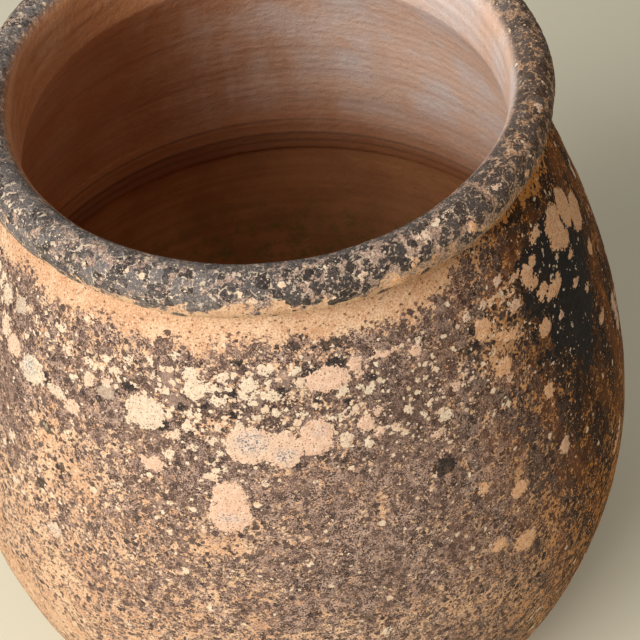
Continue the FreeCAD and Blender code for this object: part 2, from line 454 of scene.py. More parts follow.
DARK_PATCHES = (
    (-8, 647, 4, 4), (-1.2, 643, 8, 2.5), (-23.2, 670, 4, 4), (8, 715, 7, 5), (3.1, 714, 7, 3),
    (7.5, 728, 12, 4), (1.4, 731.6, 5, 3), (-9.8, 722, 4, 3), (-21, 724, 3, 2.5), (-1.7, 668, 2, 6),
    (-47.7, 664, 4, 5), (-46.4, 625, 8, 6), (-42.4, 598, 5, 4), (-46.7, 569, 6, 6), (-30.2, 692, 6, 4),
    (-35.6, 674, 3, 3), (22.8, 608.6, 11, 8.4), (34.7, 695, 5, 5), (39.4, 698, 5, 2),
    (33.3, 684, 10, 4), (37.4, 677, 4, 3), (47.8, 696, 8, 4), (49, 673, 10, 8), (44, 702, 5, 2),
    (-15.5, 688, 4, 3), (-11, 684, 4, 3), (-20, 686, 3, 3), (-5, 690, 4, 2.5), (-2, 701, 3.5, 3.5),
    (4, 690, 4, 3), (9.5, 684, 4, 3), (14, 698, 5, 3), (-11, 699, 3, 2.5),
)
GREY_CORES = (
    (-8.3, 663, 12, 9), (-2.6, 652, 8, 6), (3.4, 668, 4, 4), (-52.5, 663, 9, 8), (-43.6, 530.5, 4, 3),
    (-12.5, 599, 8, 4.5),
)
MAUVE_STAINS = (
    (-22.2, 704, 9, 5), (-21, 692, 9, 5), (-6.4, 696, 5, 3.5), (-1.4, 708, 6, 5), (1.5, 676, 5, 4),
)
print(f"{len(PALE_PATCHES)} pale patches, {len(DARK_PATCHES)} dark ones")

# %% [markdown]
# The rest of the jar isn't in the photo. It has weathered in the same rain, so more rosettes are strewn over
# the back and the lower body with a seeded generator. Real rosettes spread and merge, so each place gets a
# cluster of one to five overlapping ellipses, most of them small.

# %% Strew patches over the sides that the photo doesn't show
strew = np.random.default_rng(71)


def wrapped(degrees):
    """An angle brought into the range from -180 to 180."""
    return (degrees + 180) % 360 - 180


def strewn_clusters(turns, heights):
    """Clusters of patches round those places: turn, height, half width, half height and tone of each."""
    members = strew.integers(1, 6, len(turns))
    total = members.sum()
    size = np.repeat(np.clip(strew.lognormal(1.6, 0.6, len(turns)), 2.5, 15), members)
    tone = np.repeat(strew.choice([0.0, 0.15, 0.45, 0.6], len(turns)), members)
    shift = strew.normal(0, 0.9, (total, 2)) * size[:, None]
    half_wide = size * strew.uniform(0.4, 1.0, total)
    half_high = half_wide * strew.uniform(0.6, 1.1, total)
    turn_shift = np.degrees(shift[:, 0] * MM / belly_radius)
    place_turn = wrapped(np.repeat(turns, members) + turn_shift)
    place_height = np.repeat(heights, members) + shift[:, 1]
    return np.column_stack([place_turn, place_height, half_wide, half_high, tone])


back_count = 72
front_count = 22
dark_count = 60
back_turns = strew.uniform(78, 302, back_count)
back_heights = 330 + 400 * strew.beta(1.6, 1.0, back_count)
back_clusters = strewn_clusters(back_turns, back_heights)
front_turns = strew.uniform(-75, 75, front_count)
front_heights = strew.uniform(290, 470, front_count)
front_clusters = strewn_clusters(front_turns, front_heights)
pale_patches = np.concatenate([np.array(PALE_PATCHES), back_clusters, front_clusters])
dark_strewn = np.column_stack([
    wrapped(strew.uniform(85, 290, dark_count)), strew.uniform(380, 730, dark_count),
    strew.uniform(3, 8, dark_count), strew.uniform(3, 7, dark_count),
])
dark_patches = np.concatenate([np.array(DARK_PATCHES), dark_strewn])
print(f"{len(pale_patches)} pale and {len(dark_patches)} dark patches in all")

# %% [markdown]
# A patch is an ellipse on the skin: turn times radius across, length along the profile up. The nearest
# ellipse wins at every point of the grid, and gives it its tone. A patch reaches only a little beyond its
# edge, so a small window of the grid round each one is worked out, and hundreds of patches take no time.

# %% Distance to the nearest patch
patch_reach = 12.0


def patch_field(patches):
    """Distance to the nearest ellipse's edge in millimetres, positive inside, and the tone of that patch.

    The distance is one less the point's distance in half widths, times the smaller half width.
    """
    far = np.full(plain.shape[:2], -patch_reach, np.float32)
    tone = np.zeros(plain.shape[:2], np.float32)
    heights = row_height[outside.start:crest + 1]
    for patch in patches:
        place_turn, place_height, half_wide, half_high = patch[:4]
        centre_row = outside.start + int(np.argmin(np.abs(heights - place_height * MM)))
        up_mm = (along - along[centre_row]) / MM
        across_mm = np.radians(wrapped(turn - place_turn)) * row_radius[centre_row] / MM
        rows = np.flatnonzero(np.abs(up_mm) < half_high + patch_reach)
        columns = np.flatnonzero(np.abs(across_mm) < half_wide + patch_reach)
        window = np.ix_(rows, columns)
        ellipse = np.hypot(up_mm[rows][:, None] / half_high, across_mm[columns] / half_wide)
        inside = (1 - ellipse) * min(half_wide, half_high)
        nearer = inside > far[window]
        far[window] = np.where(nearer, inside, far[window])
        if len(patch) > 4:
            tone[window] = np.where(nearer, patch[4], tone[window])
    return far, tone


pale_mm, pale_tone = patch_field(pale_patches)
dark_mm, _ = patch_field(dark_patches)
grey_mm, _ = patch_field(GREY_CORES)
mauve_mm, _ = patch_field(MAUVE_STAINS)
print(f"pale lichen on {np.mean(pale_mm[outside] > 0):.1%} of the outside")

# %% [markdown]
# ## Where the weather reaches
#
# Under the roll the clay stayed clean, because no rain runs there. The film of weather starts a few
# centimetres lower, thins out to the lower left, and turns black on the right, where water and shade let the
# darkest crust grow. These slow changes are fields over turn and height: straight lines between a few places,
# soft hills, and noise of several sizes, which makes every border uneven.

# %% Noise and hills that the fields share
turn_grid = np.broadcast_to(turn, plain.shape[:2])
height_mm = plain[..., 2] / MM
slow = layered_noise(plain, 90 * MM, 11)
medium = layered_noise(plain, 28 * MM, 17, 2)
quick = layered_noise(plain, 9 * MM, 23, 2)
streak = layered_noise(plain * (1, 1, 0.1), 14 * MM, 73, 3)


def hill(turn_at, height_at, half_turn, half_height):
    """A soft hill over turn and height: the exponential of minus the squared distances in half widths."""
    return np.exp(-(((turn_grid - turn_at) / half_turn) ** 2) - ((height_mm - height_at) / half_height) ** 2)


def add_hills(values, table):
    """A field plus soft hills, from a table of strength, turn, height, half turn and half height."""
    for strength, *place in table:
        values = values + strength * hill(*place)
    return values


print(f"slow noise spans {slow.min():.2f} to {slow.max():.2f}")

# %% [markdown]
# The film's upper border is given at a few turns. Below it the cover is a base share, less at the lower left
# and towards the belly, with hills where the film is thick and hollows where it has worn through. The roll is
# crusted down to a border of its own on its outside. The strip under that border stays nearly bare, except on
# the right.

# %% Cover of the film
FILM_TOP = (
    (-180, 726), (-75, 714), (-60, 729), (-45, 732), (-30, 734), (-18, 735), (-7, 743), (4, 739), (19, 734),
    (25, 725), (30, 733), (39, 752), (48, 753), (60, 742), (90, 736), (180, 726),
)
COVER_HILLS = (
    (0.12, 6, 622, 12, 34), (0.10, -19, 648, 12, 10), (-0.30, -15.5, 672, 5, 8), (-0.35, -14.4, 571, 4, 7),
    (-0.2, -57, 670, 4, 12), (-0.4, -46.4, 625, 3.5, 12), (-0.14, 44, 690, 9, 50), (0.08, 15, 670, 12, 30),
    (-0.34, 39.5, 664, 4.5, 20), (-0.16, 44, 610, 6, 16), (0.44, -57, 612, 7, 50), (-0.12, 12, 604, 5, 25),
    (-0.16, -31, 552, 7, 14), (-0.16, -5, 578, 6, 9),
)
ROLL_EDGE = ((-180, 773), (-60, 770), (-25, 777), (0, 784), (30, 779), (60, 774), (180, 773))
crusted = 0.96
bare = 0.12

film_top = np.interp(turn, *np.array(FILM_TOP).T)
below_neck = smooth_step(film_top - height_mm + 10 * medium + 6 * quick, -8, 18)
left_half = smooth_step(turn_grid, -165, -85)
lower_left = left_half * smooth_step(-turn_grid, 18, 50) * smooth_step(700 - height_mm, 10, 110)
lower_warm = smooth_step(570 - height_mm, 0, 160)
lower_front = left_half * smooth_step(640 - height_mm, 0, 60) * smooth_step(2 - turn_grid, 0, 14)
cover = 0.74 + 0.16 * slow + 0.16 * medium - 0.20 * lower_left - 0.14 * lower_front - 0.18 * lower_warm
cover = add_hills(cover, COVER_HILLS)
wall_cover = bare + np.clip(cover - 0.1, 0.05, 0.86) * below_neck

roll_edge_height = np.interp(turn, *np.array(ROLL_EDGE).T)
roll_edge = smooth_step(height_mm - roll_edge_height + 15 * medium + 9 * quick, -5, 7)
roll_edge = np.where((row_number > crest)[:, None], 1.0, roll_edge)
roll_low = 0.16 + 0.46 * smooth_step(turn_grid, 8, 40) * smooth_step(170 - turn_grid, 0, 60)
roll_cover = roll_low + (crusted - roll_low) * roll_edge
on_roll = (row_number >= roll_first)[:, None]
cover = np.where(on_roll, roll_cover, wall_cover)
print(f"mean film cover outside {cover[outside].mean():.2f}")

# %% [markdown]
# On the right a black streak runs down from the neck, widest on the shoulder. `soot` is 1 along its middle
# and falls to 0 at its border. Around it lies the side in shade, where a field gives the share of a warmer
# brown: partly stain, and partly painted warm shade.

# %% The black streak and the shaded side
SOOT_WIDTH = ((460, 4), (560, 7), (600, 8), (640, 10), (665, 11.5), (700, 11), (720, 6), (740, 3))
soot_turn = 59.5
shaded_side_turn = 76
shaded_side_reach = 41
soot_width = np.interp(height_mm, *np.array(SOOT_WIDTH).T)
soot = 1 - np.abs(turn_grid - soot_turn) / soot_width
soot = np.clip(soot + 0.5 * medium + 0.3 * slow + 0.3 * streak, -1.5, 1)
soot = soot - 2 * smooth_step(height_mm, 704, 730) - 1.5 * smooth_step(640 - height_mm, 0, 120)
# Painted warm shade, partly stain: a share that is largest on the right, away from the lamp.
shaded_side = np.exp(-(((turn_grid - shaded_side_turn) / shaded_side_reach) ** 2)) * (1 - side[:, None])
print(f"sooty share of the outside {np.mean(soot[outside] > 0):.1%}")

# %% [markdown]
# `crumbs` says how thickly small flakes of lichen lie: most below the neck at the front, some at the left and
# on the back, none on the black. The bloom is the pale tone on the inside wall that faces the lamp: partly
# dust and partly painted light. It fades towards the seam, and only a trace of it reaches the wall below.

# %% Crumbs of lichen, and the bloom inside: dust and painted light
CRUMB_HILLS = (
    (0.95, -9, 700, 28, 22), (0.7, -2, 668, 26, 28), (0.5, -54, 690, 16, 34), (0.5, 28, 666, 18, 34),
    (0.25, -40, 600, 30, 60),
)
lit_wall_turn = 102
bloom_rise = 130
trace = 0.3
seam_mm = seam_height / MM
back_crumbs = 0.5 * smooth_step(np.abs(turn_grid), 80, 110) * np.exp(-(((height_mm - 660) / 80) ** 2))
crumbs = add_hills(0, CRUMB_HILLS) + back_crumbs + 0.2 * slow
crumbs = np.clip(crumbs, 0, 1) * smooth_step(-soot, -0.2, 0.6)
# Painted light, partly dust: paler where the inside wall faces the lamp, fading down towards the seam.
lit_wall_facing = np.cos(np.radians(turn_grid - lit_wall_turn))
bloom_and_light = 0.1 + 0.9 * smooth_step(lit_wall_facing + 0.3 * streak, -0.35, 0.75)
above_trace = smooth_step(height_mm + 12 * slow, seam_mm, seam_mm + bloom_rise)
bloom_and_light = bloom_and_light * np.where(height_mm < seam_mm, trace, above_trace)
print(f"mean bloom inside {bloom_and_light[roll_last:].mean():.2f}")

# %% [markdown]
# ## Crust on the roll
#
# The roll is covered with charcoal discs five to twelve millimetres across, some merged, on a pinkish grey
# ground. Balls of random radius strewn through space, cut by the surface of the roll, give just such discs.
# Working them out here, and not in the material, lets the same field raise the mesh and colour it.

# %% Discs of crust
large_cell = 12.5 * MM
small_cell = 6.0 * MM
roll_rows = slice(roll_first, roll_last + 1)
bend = np.stack([quick[roll_rows], medium[roll_rows], quick[roll_rows]], -1)
roll_points = plain[roll_rows] + MM * bend
large_discs = disc_distance(roll_points, large_cell, 0.15, 0.62, 41)
small_discs = disc_distance(roll_points, small_cell, 0.1, 0.62, 47)
crust_mm = np.full(plain.shape[:2], -6.0)
crust_mm[roll_rows] = np.maximum(large_discs, small_discs) / MM
left_front = smooth_step(-turn_grid, -25, 20) * smooth_step(turn_grid, -120, -80)
# Painted shade, along with the crust: the next share makes the rim's crust denser, darker and less cracked
# towards the front right.
right_front_shade = smooth_step(turn_grid, -18, 8) * smooth_step(130 - turn_grid, 0, 50)
crust_mm = crust_mm + 0.6 + 0.8 * left_front + 0.25 * right_front_shade - 0.5 * shaded_side
crust_mm = crust_mm - 3.4 * (1 - roll_edge) + 1.1 * slow
lip = np.exp(-(((past_crest - 7 * MM) / (5 * MM)) ** 2)) * (row_number > crest)
print(f"crust covers {np.mean(crust_mm[roll_rows] > 0):.0%} of the roll")

# %% [markdown]
# ## Relief
#
# Now the skin is pushed in and out along its normal. Outside: a slow wobble, because no hand-raised jar is
# truly round; soft bands from the paddle; grain; raised crust and rosettes. Inside: the rings that fingers
# leave on the wheel, stronger above the seam, and two low ledges over it. The sum stays within two or three
# millimetres, as on the real wall. It fades out under the foot and in the middle of the floor.

# %% Push the skin in and out
outside_share = 1 - side[:, None]
wobble = 1.1 * layered_noise(plain, 260 * MM, 31, 2)
bands = 0.35 * value_noise(plain * (0.35, 0.35, 1.0), 24 * MM, 37)
grain = 0.20 * quick + 0.14 * value_noise(plain, 4.2 * MM, 29)
rosette_relief = 0.4 * smooth_step(pale_mm + 1.6 * quick, -0.6, 1.2) + 0.4 * smooth_step(dark_mm, -1, 1.5)
outside_relief = wobble + bands + grain + 0.5 * medium + rosette_relief + 0.25 * cover

roll_share = np.zeros(len(profile))
roll_share[roll_rows] = 1
dents = 1.3 * layered_noise(plain, 75 * MM, 53, 2)
crust_relief = 0.45 * smooth_step(crust_mm, -0.7, 1.0)
roll_relief = roll_share[:, None] * (dents + crust_relief * outside_share - 0.3)

ring_pitch = 13
fine_pitch = 5.2
round_turn = np.radians(turn_grid)
above_seam = smooth_step(height_mm, seam_mm - 10, seam_mm + 10)
ring_strength = 0.5 + 0.5 * value_noise(plain * (0.15, 0.15, 1.0), 30 * MM, 59)
rings = np.sin(2 * np.pi * height_mm / ring_pitch + round_turn + 2.2 * value_noise(plain, 80 * MM, 61))
fine_rings = np.sin(2 * np.pi * height_mm / fine_pitch + round_turn + 1.4 * value_noise(plain, 35 * MM, 67))
above_seam_mm = height_mm - seam_mm
ledges = np.exp(-(((above_seam_mm - 22) / 5) ** 2)) + 0.8 * np.exp(-(((above_seam_mm - 45) / 7) ** 2))
inside_relief = (0.12 + 0.14 * above_seam) * ring_strength * rings + 0.05 * fine_rings + 0.7 * ledges
inside_relief = inside_relief + 0.7 * wobble + 0.25 * medium

pole_fade = smooth_step(row_radius, 0, 60 * MM)[:, None]
rest_fade = smooth_step(row_height, 0, 8 * MM)[:, None]
relief = outside_share * outside_relief + side[:, None] * inside_relief + roll_relief
floor_rows = (row_number > stretch_rows["corner_coil"][0][0])[:, None]
fade = np.where(floor_rows, pole_fade, rest_fade)
relief = relief * fade * MM

pushed_radius = row_radius[:, None] + relief * normal_radius[:, None]
skin = np.empty_like(plain)
skin[..., 0] = pushed_radius * round_x
skin[..., 1] = pushed_radius * round_y
skin[..., 2] = np.maximum(row_height[:, None] + relief * normal_height[:, None], 0)
print(f"relief from {relief.min() / MM:.1f} to {relief.max() / MM:.1f} mm")

# %% [markdown]
# ## Normals of the skin
#
# Smooth shading averages the faces around a point. At a joint half of those faces belong to the neighbour, so
# the average would tilt and draw a line. The normal of the whole skin, from differences across the joint, has
# no such fault, and each stage is given its rows of it.

# %% Normals from central differences
across = np.roll(skin, -1, axis=1) - np.roll(skin, 1, axis=1)
upward = np.gradient(skin, axis=0)
skin_normal = np.cross(across, upward)
skin_normal /= np.maximum(np.linalg.norm(skin_normal, axis=-1, keepdims=True), 1e-12)
skin_normal[0] = (0, 0, -1)
skin_normal[-1] = (0, 0, 1)
print(f"normals of {skin_normal.shape[0]} rows")

# %% [markdown]
# ## From rows to stages
#
# A wall stage is a closed loop of rows: its outside, the joint face on top, its inside, the joint face below.
# The joint faces carry the keying ridge, halfway across. A roll or a coil has one stretch of skin and one
# hidden face. The base slab is the odd one: its two ends run to the axis.

# %% Rows of a stage
def joint_rows(start, end):
    """Rows across a joint face from one skin row to another, with the ridge rising halfway."""
    width = np.linalg.norm(skin[end] - skin[start], axis=-1).mean()
    half = min(ridge_half_width / width, 0.3)
    share = np.array([0.5 - half, 0.5, 0.5 + half])[:, None, None]
    rows = skin[start] + share * (skin[end] - skin[start])
    rows[1, :, 2] += ridge_height
    return rows


def stage_rows(name):
    """Rows of a stage in order, the skin row that lends each its fields, and which face rows are skin."""
    ranges = stretch_rows[name]
    points, source, is_skin = [], [], []
    for k, (first_row, last_row) in enumerate(ranges):
        points.append(skin[first_row:last_row + 1])
        source += list(range(first_row, last_row + 1))
        is_skin += [True] * (last_row - first_row) + [False]
        next_row = ranges[(k + 1) % len(ranges)][0]
        if name == "base_slab" and k == len(ranges) - 1:
            break
        if name == "corner_coil":
            continue
        points.append(joint_rows(last_row, next_row))
        source += [last_row, last_row, next_row]
        is_skin += [False] * 3
    return np.concatenate(points), np.array(source), np.array(is_skin)


print(f"the belly stage is a loop of {len(stage_rows('belly_wall')[0])} rows")

# %% [markdown]
# ## A flat map for baking
#
# A baked picture needs a flat map of each stage. A ring laid flat is a long narrow strip, and most of a
# square picture would stay empty. So the turn is cut into strips, which are stacked until the map is about
# square.

# %% Map of strips
map_margin = 0.012
most_strips = 8


def strip_map(rows, closed):
    """Map of the corners of every quad: along its strip by turn, up the strip by length along the rows."""
    ring = np.concatenate([rows, rows[:1]]) if closed else rows
    steps = np.linalg.norm(np.diff(ring, axis=0), axis=-1).mean(axis=1)
    length = np.concatenate([[0], np.cumsum(steps)])
    turn_length = 2 * np.pi * np.hypot(rows[..., 0], rows[..., 1]).mean()
    strips = int(np.clip(round(math.sqrt(turn_length / length[-1])), 1, most_strips))
    per_strip = COLUMNS // strips
    column = np.arange(COLUMNS)
    strip = column // per_strip
    used = 1 - 2 * map_margin
    left = map_margin + used * (column % per_strip) / per_strip
    right_side = left + used / per_strip
    level = map_margin + used * length / length[-1]
    low = (strip[None, :] + level[:-1, None]) / strips
    high = (strip[None, :] + level[1:, None]) / strips
    u = np.stack([left, right_side, right_side, left], -1)
    v = np.stack([low, low, high, high], -1)
    return np.stack([np.broadcast_to(u, v.shape), v], -1)


print(f"at most {most_strips} strips on a map")

# %% [markdown]
# ## Meshes
#
# Rows and columns of points make quads. On the base slab the first and the last row have shrunk to a point on
# the axis, so their quads become fans of triangles round one shared point. Each mesh carries the fields as
# attributes, which is how the finishes will know where the lichen grows.

# %% Quads, fans and an empty mesh to fill
def quad_corners(row_count, face_rows):
    """Numbers of the four points of every quad: this row and the next one, this column and the next one."""
    row = np.arange(face_rows)[:, None]
    column = np.arange(COLUMNS)
    lower = row * COLUMNS
    upper = (row + 1) % row_count * COLUMNS
    beside = (column + 1) % COLUMNS
    return np.stack([lower + column, lower + beside, upper + beside, upper + column], -1)


def with_fans(values):
    """Values of all corners when the first and the last row of quads are triangles."""
    parts = (values[0][:, [0, 2, 3]], values[1:-1], values[-1][:, [0, 1, 2]])
    return np.concatenate([part.reshape(-1, *values.shape[3:]) for part in parts])


def filled_mesh(name, points, corners, sizes):
    """A smooth mesh from its points, the point of every corner and the number of corners of every face."""
    mesh = bpy.data.meshes.new(name)
    mesh.vertices.add(len(points))
    mesh.vertices.foreach_set("co", points.astype(np.float32).ravel())
    mesh.loops.add(len(corners))
    mesh.loops.foreach_set("vertex_index", corners.astype(np.int32))
    mesh.polygons.add(len(sizes))
    mesh.polygons.foreach_set("loop_start", (np.cumsum(sizes) - sizes).astype(np.int32))
    mesh.update(calc_edges=True)
    mesh.polygons.foreach_set("use_smooth", np.ones(len(sizes), bool))
    return mesh


print(f"{quad_corners(2, 1).shape[1]} quads between two rows")

# %% [markdown]
# Now each stage is put together. Its skin gets the normals worked out above, and a normal of zero leaves the
# hidden joint faces to Blender.

# %% Meshes of the stages
fields = {
    "pale_mm": pale_mm, "pale_tone": pale_tone, "dark_mm": dark_mm, "grey_mm": grey_mm, "mauve_mm": mauve_mm,
    "cover": cover, "soot": soot, "shaded_side": shaded_side, "crumbs": crumbs, "crust_mm": crust_mm,
    "streak": streak, "bloom_and_light": bloom_and_light, "right": right_front_shade,
    "inner": np.broadcast_to(side[:, None], plain.shape[:2]),
    "lip": np.broadcast_to(lip[:, None], plain.shape[:2]),
}


def make_stage(name):
    """Mesh object of one stage, with its fields as attributes, the skin's normals and its flat map."""
    rows, source, is_skin = stage_rows(name)
    closed = name != "base_slab"
    row_count = len(rows)
    face_rows = row_count if closed else row_count - 1
    quads = quad_corners(row_count, face_rows)
    uv = strip_map(rows, closed)
    skin_corners = is_skin[:face_rows, None, None, None]
    normals = np.where(skin_corners, skin_normal[source].reshape(-1, 3)[quads], 0.0)
    sizes = np.full(face_rows * COLUMNS, 4)
    keep = np.ones(row_count * COLUMNS, bool)
    if closed:
        corners = quads.ravel()
        uv = uv.reshape(-1, 2)
        normals = normals.reshape(-1, 3)
    else:
        last_pole = (row_count - 1) * COLUMNS
        quads[0, :, 0] = 0
        quads[-1, :, 2] = last_pole
        corners = with_fans(quads)
        uv = with_fans(uv)
        normals = with_fans(normals)
        sizes[:COLUMNS] = 3
        sizes[-COLUMNS:] = 3
        keep[1:COLUMNS] = False
        keep[last_pole + 1:] = False
    new_number = np.cumsum(keep) - 1

    mesh = filled_mesh(name + "_skin", rows.reshape(-1, 3)[keep], new_number[corners], sizes)
    layer = mesh.uv_layers.new(name="OFBake")
    layer.data.foreach_set("uv", uv.astype(np.float32).ravel())
    for field_name, values in fields.items():
        attribute = mesh.attributes.new(field_name, "FLOAT", "POINT")
        attribute.data.foreach_set("value", values[source].reshape(-1)[keep].astype(np.float32))
    mesh.normals_split_custom_set(normals.astype(np.float32))
    piece = bpy.data.objects.new(name + "_skin", mesh)
    bpy.context.scene.collection.objects.link(piece)
    print(f"{piece.name}: {row_count} rows, {int((sizes - 2).sum())} triangles")
    return piece


pieces = {name: make_stage(name) for name in stretch_rows}

# %% [markdown]
# ## A short way to write shader nodes
#
# Materials are trees of nodes. A few small helpers keep a tree readable: one adds a node and fills its
# sockets, some do arithmetic, one mixes two colours. Colours are written as on screen, from 0 to 255, and
# turned into the linear values that light works with.

# %% Nodes, arithmetic and colours
def linear(red, green, blue):
    """A screen colour as linear light: below 0.04045 a thirteenth, above it about the power 2.4."""
    channels = np.array([red, green, blue]) / 255
    curve = np.where(channels <= 0.04045, channels / 12.92, ((channels + 0.055) / 1.055) ** 2.4)
    return (*curve.tolist(), 1.0)


def fill(tree, socket, value):
    """Gives a socket its value, or a link where the value is another node's socket."""
    if isinstance(value, bpy.types.NodeSocket):
        tree.links.new(value, socket)
    else:
        socket.default_value = value


def add(tree, kind, values=None, **settings):
    """A node of that kind with those settings. values fill its sockets by name or number."""
    node = tree.nodes.new(kind)
    for key, value in settings.items():
        setattr(node, key, value)
    for key, value in (values or {}).items():
        fill(tree, node.inputs[key], value)
    return node


def maths(tree, operation, a, b=0.0, c=0.0, clamp=False):
    """One step of arithmetic on two or three values."""
    node = add(tree, "ShaderNodeMath", {0: a, 1: b, 2: c}, operation=operation, use_clamp=clamp)
    return node.outputs[0]


def product(tree, a, b):
    """Two values multiplied."""
    return maths(tree, "MULTIPLY", a, b)


def larger(tree, a, b):
    """The larger of two values."""
    return maths(tree, "MAXIMUM", a, b)


def vector_maths(tree, operation, values):
    """One step of arithmetic on vectors."""
    return add(tree, "ShaderNodeVectorMath", values, operation=operation).outputs[0]


def ramp(tree, value, low, high, to_low=0.0, to_high=1.0):
    """A smooth step from one value to another."""
    names = {"Value": value, "From Min": low, "From Max": high, "To Min": to_low, "To Max": to_high}
    return add(tree, "ShaderNodeMapRange", names, interpolation_type="SMOOTHSTEP").outputs["Result"]


def mix(tree, share, a, b):
    """Two colours mixed by a share from 0 to 1."""
    return add(tree, "ShaderNodeMix", {0: share, 6: a, 7: b}, data_type="RGBA").outputs[2]


print("ochre in linear light:", [round(c, 3) for c in linear(226, 170, 112)])

# %% [markdown]
# A pattern starts from a place on the jar, or from a field that the mesh carries. What several finishes share
# is put into a group, a small tree with named inputs and outputs, which is built once and placed wherever it
# is needed.

# %% Places, noise, fields and groups
MM_PER_METRE = 1000.0


def object_place(tree):
    """Places in the jar's own frame, in metres."""
    return add(tree, "ShaderNodeTexCoord").outputs["Object"]


def noise(tree, place, size_mm, detail=3.0, rough=0.55):
    """Cloudy noise whose largest blots are about that many millimetres."""
    names = {"Vector": place, "Scale": MM_PER_METRE / size_mm, "Detail": detail, "Roughness": rough}
    return add(tree, "ShaderNodeTexNoise", names).outputs["Fac"]


def field(tree, name):
    """A field that the mesh carries."""
    return add(tree, "ShaderNodeAttribute", attribute_name=name).outputs["Fac"]


def new_group(name, inputs, outputs):
    """An empty node group with named value inputs, and outputs that are values or colours."""
    tree = bpy.data.node_groups.new(name, "ShaderNodeTree")
    for socket_name, default in inputs.items():
        socket = tree.interface.new_socket(socket_name, in_out="INPUT", socket_type="NodeSocketFloat")
        socket.default_value = default
    for socket_name, kind in outputs.items():
        tree.interface.new_socket(socket_name, in_out="OUTPUT", socket_type="NodeSocket" + kind)
    entry = tree.nodes.new("NodeGroupInput")
    leave = tree.nodes.new("NodeGroupOutput")
    return tree, entry.outputs, leave.inputs


def use(tree, group, values=None):
    """A group placed in a tree; returns its outputs."""
    return add(tree, "ShaderNodeGroup", values, node_tree=group).outputs


print("fields to read:", ", ".join(fields))

# %% [markdown]
# ## Specks and cracks
#
# Lichen, soot and grit all come as small round spots of mixed sizes. Voronoi cells give one point per cell. A
# spot is drawn round it with a radius of its own, and only in a share of the cells. Bending the coordinates
# with noise first makes the spots lobed instead of round. The cracks of dried crust are the walls between
# such cells, opened in some places and shut in others by slow noise.

# %% Groups of specks and cracks
def bent_cells(tree, cell_mm, ragged):
    """Object places counted in cells of that size, bent by noise so that round spots become lobed."""
    cells = maths(tree, "DIVIDE", MM_PER_METRE, cell_mm)
    scaled = vector_maths(tree, "SCALE", {0: object_place(tree), "Scale": cells})
    bend = add(tree, "ShaderNodeTexNoise", {"Vector": scaled, "Scale": 2.2, "Detail": 2.0})
    centred = vector_maths(tree, "SUBTRACT", {0: bend.outputs["Color"], 1: (0.5, 0.5, 0.5)})
    pushed = vector_maths(tree, "SCALE", {0: centred, "Scale": ragged})
    return vector_maths(tree, "ADD", {0: scaled, 1: pushed})


def speck_group():
    """Mask of scattered spots: distance to the cell's point below a radius that each cell draws."""
    names = {"Cell mm": 5.0, "Share": 0.5, "Radius": 0.3, "Ragged": 0.25}
    tree, entry, leave = new_group("specks", names, {"Mask": "Float", "Random": "Float"})
    place = bent_cells(tree, entry["Cell mm"], entry["Ragged"])
    cell = add(tree, "ShaderNodeTexVoronoi", {"Vector": place, "Scale": 1.0})
    draw = add(tree, "ShaderNodeSeparateColor", {"Color": cell.outputs["Color"]})
    size = maths(tree, "MULTIPLY_ADD", draw.outputs["Red"], 0.6, 0.4)
    radius = product(tree, size, entry["Radius"])
    inner = product(tree, radius, 0.75)
    disc = ramp(tree, cell.outputs["Distance"], inner, radius, 1.0, 0.0)
    present = maths(tree, "LESS_THAN", draw.outputs["Green"], entry["Share"])
    tree.links.new(product(tree, disc, present), leave["Mask"])
    tree.links.new(draw.outputs["Blue"], leave["Random"])
    return tree


def crackle_group():
    """Thin broken lines between cells: distance to the cell's wall below a width that slow noise changes."""
    names = {"Cell mm": 8.0, "Width": 0.1, "Ragged": 0.5, "Share": 0.5}
    tree, entry, leave = new_group("crackle", names, {"Mask": "Float", "Random": "Float"})
    place = bent_cells(tree, entry["Cell mm"], entry["Ragged"])
    wall = add(tree, "ShaderNodeTexVoronoi", {"Vector": place, "Scale": 1.0}, feature="DISTANCE_TO_EDGE")
    cell = add(tree, "ShaderNodeTexVoronoi", {"Vector": place, "Scale": 1.0})
    blots = add(tree, "ShaderNodeTexNoise", {"Vector": place, "Scale": 1.7, "Detail": 2.0})
    shut = maths(tree, "MULTIPLY_ADD", entry["Share"], 0.5, -0.75)
    opened = maths(tree, "ADD", blots.outputs["Fac"], shut)
    width = product(tree, ramp(tree, opened, -0.06, 0.1), entry["Width"])
    gap = maths(tree, "SUBTRACT", width, wall.outputs["Distance"])
    tree.links.new(ramp(tree, gap, -0.02, 0.02), leave["Mask"])
    draw = add(tree, "ShaderNodeSeparateColor", {"Color": cell.outputs["Color"]})
    tree.links.new(draw.outputs["Blue"], leave["Random"])
    return tree


specks = speck_group()
crackle = crackle_group()
print("groups", specks.name, "and", crackle.name)

# %% [markdown]
# ## Fired clay
#
# Bare terracotta shows under the roll and through every gap in the skin. It is ochre with pale and orange
# clouds, sandy at close range, with dark grit.

